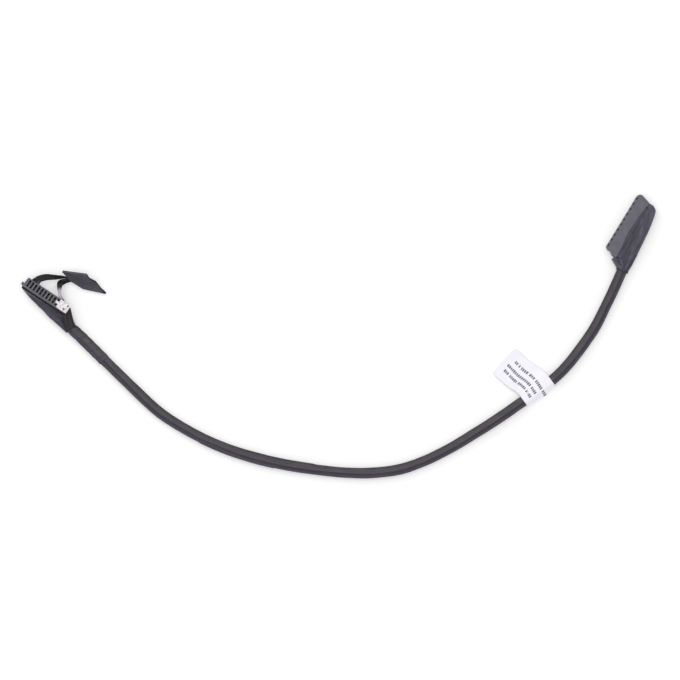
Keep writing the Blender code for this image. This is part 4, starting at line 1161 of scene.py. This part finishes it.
def build_print(finish):
    """Three rows of plain short bars printed on the label."""
    bm = bmesh.new()
    rise = UP * (LABEL_SHEET * 0.3 + 0.00003)
    for index, (row, start, groups) in enumerate(PRINT_ROWS):
        out = start
        for group, bars in enumerate(groups):
            for bar in range(bars):
                seed = Vector((bar * 1.7 + group * 3.9, index * 5.3, 0.5))
                length = PRINT_BAR * (1 + 0.35 * noise(seed))
                tall = PRINT_HEIGHT * (0.45 + 0.10 * noise(seed * 1.3))
                corners = []
                for reach, side in ((0, -1), (length, -1), (length, 1), (0, 1)):
                    along = row + side * tall + PRINT_SLANT * (out - reach - PRINT_PIVOT)
                    corners.append(bm.verts.new(label_point(along, out - reach, 1) + rise))
                bm.faces.new(corners)
                out -= length + PRINT_GAP
            out -= PRINT_PAUSE
    return add_object("label_bars", bm, finish, smooth=False)


def dress(node, finish):
    """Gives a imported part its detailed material."""
    for slot in bpy.data.objects[node].material_slots:
        slot.material = finish


def add_floor():
    """Pale floor that shows white to the camera and keeps the object's soft shadow."""
    bm = bmesh.new()
    bmesh.ops.create_grid(bm, x_segments=1, y_segments=1, size=3.0)
    finish = Finish("floor_white", 0.9, specular=0.0)
    finish.shader.inputs["Base Color"].default_value = (0.86, 0.86, 0.86, 1)
    path = add_node(finish.tree, "LightPath", {})
    seen = finish.join("MAXIMUM", path.outputs["Is Camera Ray"], path.outputs["Is Glossy Ray"])
    seen = finish.join("MAXIMUM", seen, path.outputs["Is Transmission Ray"])
    finish.shader.inputs["Emission Color"].default_value = (1, 1, 1, 1)
    finish.feed("Emission Strength", finish.join("MULTIPLY", seen, 0.22))
    floor = add_object("floor", bm, finish.material, smooth=False)
    floor.location = (-0.096, -0.038, -0.0001)


def add_light():
    """White surroundings, softer on the object than they look, and a broad lamp overhead."""
    world = bpy.data.worlds.new("surroundings")
    bpy.context.scene.world = world
    world.use_nodes = True
    tree = world.node_tree
    background = tree.nodes["Background"]
    rays = add_node(tree, "LightPath", {}).outputs
    seen = add_node(tree, "Math", {0: rays["Is Camera Ray"], 1: rays["Is Transmission Ray"]})
    seen.operation = "MAXIMUM"
    limits = {"To Min": 0.62, "To Max": 1.0, "Value": seen.outputs["Value"]}
    level = add_node(tree, "MapRange", limits)
    tree.links.new(level.outputs["Result"], background.inputs["Strength"])
    background.inputs["Color"].default_value = (1, 1, 1, 1)

    for place, size, power in (((-0.10, 0.05, 0.7), 0.6, 1.9), ((-0.30, 0.30, 0.35), 0.2, 0.35)):
        data = bpy.data.lights.new("softbox", "AREA")
        data.size = size
        data.energy = power
        lamp = bpy.data.objects.new("softbox", data)
        lamp.location = place
        aim = Vector((-0.10, -0.04, 0)) - lamp.location
        lamp.rotation_euler = aim.to_track_quat("-Z", "Y").to_euler()
        bpy.context.scene.collection.objects.link(lamp)


add_camera()
cover = build_sleeve(sleeve_finish())
wrapped = build_wrap(wrap_finish())
# Streak stops below: painted shade at the tape's outer edge, then a painted highlight streak beside a
# painted dark slit
board_cloth = drawn_finish("board_cloth", BOARD_TURN, (
    (0.030, 0.028, 0.036),
    (0.052, 0.047, 0.066),
    (0.074, 0.067, 0.096),
    (0.095, 0.088, 0.118),
), (
    (0.07, shade(0.55)),
    (0.14, shade(1.0)),
    (0.40, shade(1.0)),
    (0.45, shade(1.25)),
    (0.49, shade(0.60)),
    (0.55, shade(1.05)),
))
# Streak stops below: painted shade near the outer edge, a bright painted highlight streak, and bands
# of painted shade inside it
battery_cloth = drawn_finish("battery_cloth", BATTERY_TURN, (
    (0.036, 0.033, 0.048),
    (0.062, 0.057, 0.080),
    (0.082, 0.076, 0.104),
    (0.120, 0.113, 0.145),
), (
    (0.14, shade(0.60)),
    (0.27, shade(0.74)),
    (0.34, shade(1.0)),
    (0.40, shade(1.85)),
    (0.45, shade(1.50)),
    (0.50, shade(0.82)),
    (0.64, shade(0.86)),
    (0.84, shade(1.02)),
))
board_lines = (
    (-0.85, -0.5, 0.10, 0.00020),
    (-0.40, 0.0, 0.12, 0.00020),
    (0.20, 0.3, 0.16, 0.00022),
    (0.75, 0.6, 0.14, 0.00020),
)
battery_lines = (
    (-0.70, -0.60, 0.14, 0.00018),
    (-0.10, -0.20, 0.12, 0.00020),
    (0.35, 0.10, 0.09, 0.00026),
    (0.62, 0.42, 0.07, 0.00030),
    (0.82, 0.75, 0.06, 0.00030),
)
board_tape = build_pouch("board_end_tape", board_tape_frames(), board_lines, 1.7, board_cloth)
battery_frames = battery_tape_frames()
battery_tape = build_pouch("battery_end_tape", battery_frames, battery_lines, 6.2, battery_cloth, True)
fold = build_fold(drawn_finish("fold_cloth", BOARD_TURN, (
    (0.013, 0.010, 0.012),
    (0.025, 0.019, 0.021),
    (0.040, 0.031, 0.035),
    (0.085, 0.074, 0.092),
)))
knot = build_knot(wire_finish())
corner = build_flap(battery_cloth)
lap = build_lap(drawn_finish("lap_cloth", BATTERY_TURN, (
    (0.043, 0.039, 0.056),
    (0.054, 0.049, 0.070),
    (0.065, 0.059, 0.084),
    (0.084, 0.077, 0.105),
)))
left_arm, right_arm = build_strap(strap_finish())
label = build_label(label_finish())
bars = build_print(print_finish())

for piece, slot, node in (
    (cover, "sleeve_film", "sleeve"),
    (wrapped, "cloth_tape", "tape_wrap"),
    (board_tape, "cloth_tape", "board_tape"),
    (battery_tape, "cloth_tape", "battery_tape"),
    (label, "label_paper", "label"),
    (left_arm, "strap_film", "pull_strap"),
    (bars, "label_paper", None),
    (fold, "cloth_tape", None),
    (corner, "cloth_tape", None),
    (lap, "cloth_tape", None),
    (knot, "cloth_tape", None),
    (right_arm, "strap_film", None),
):
    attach(piece, "root")
    if node:
        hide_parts(node)

dress("battery_housing", plug_finish("battery_plastic", (
    (0.095, 0.088, 0.112),
    (0.112, 0.105, 0.135),
    (0.130, 0.122, 0.155),
)))
dress("board_housing", plug_finish("board_plastic", (
    (0.080, 0.080, 0.095),
    (0.105, 0.105, 0.125),
    (0.130, 0.130, 0.150),
)))
dress("end_plate", steel_finish())
dress("pull_tab", tab_finish())
wire_cover = wire_finish()
# The board contacts are nearly black: painted shade of the slots they sit in, on tin like the battery
# plug's
board_tin_in_painted_shade = contact_finish("board_tin_in_painted_shade", (0.030, 0.030, 0.036), (0.060, 0.058, 0.064))
battery_tin = contact_finish("battery_tin", (0.55, 0.53, 0.50), (0.78, 0.76, 0.73))
for number in range(1, WIRE_COUNT + 1):
    dress(f"wire_{number:02d}", wire_cover)
    dress(f"board_contact_{number:02d}", board_tin_in_painted_shade)
    dress(f"battery_contact_{number:02d}", battery_tin)

path = [route.point(route.length * step / 60) for step in range(61)]

add_floor()
add_light()
bpy.context.scene.view_settings.view_transform = "Standard"
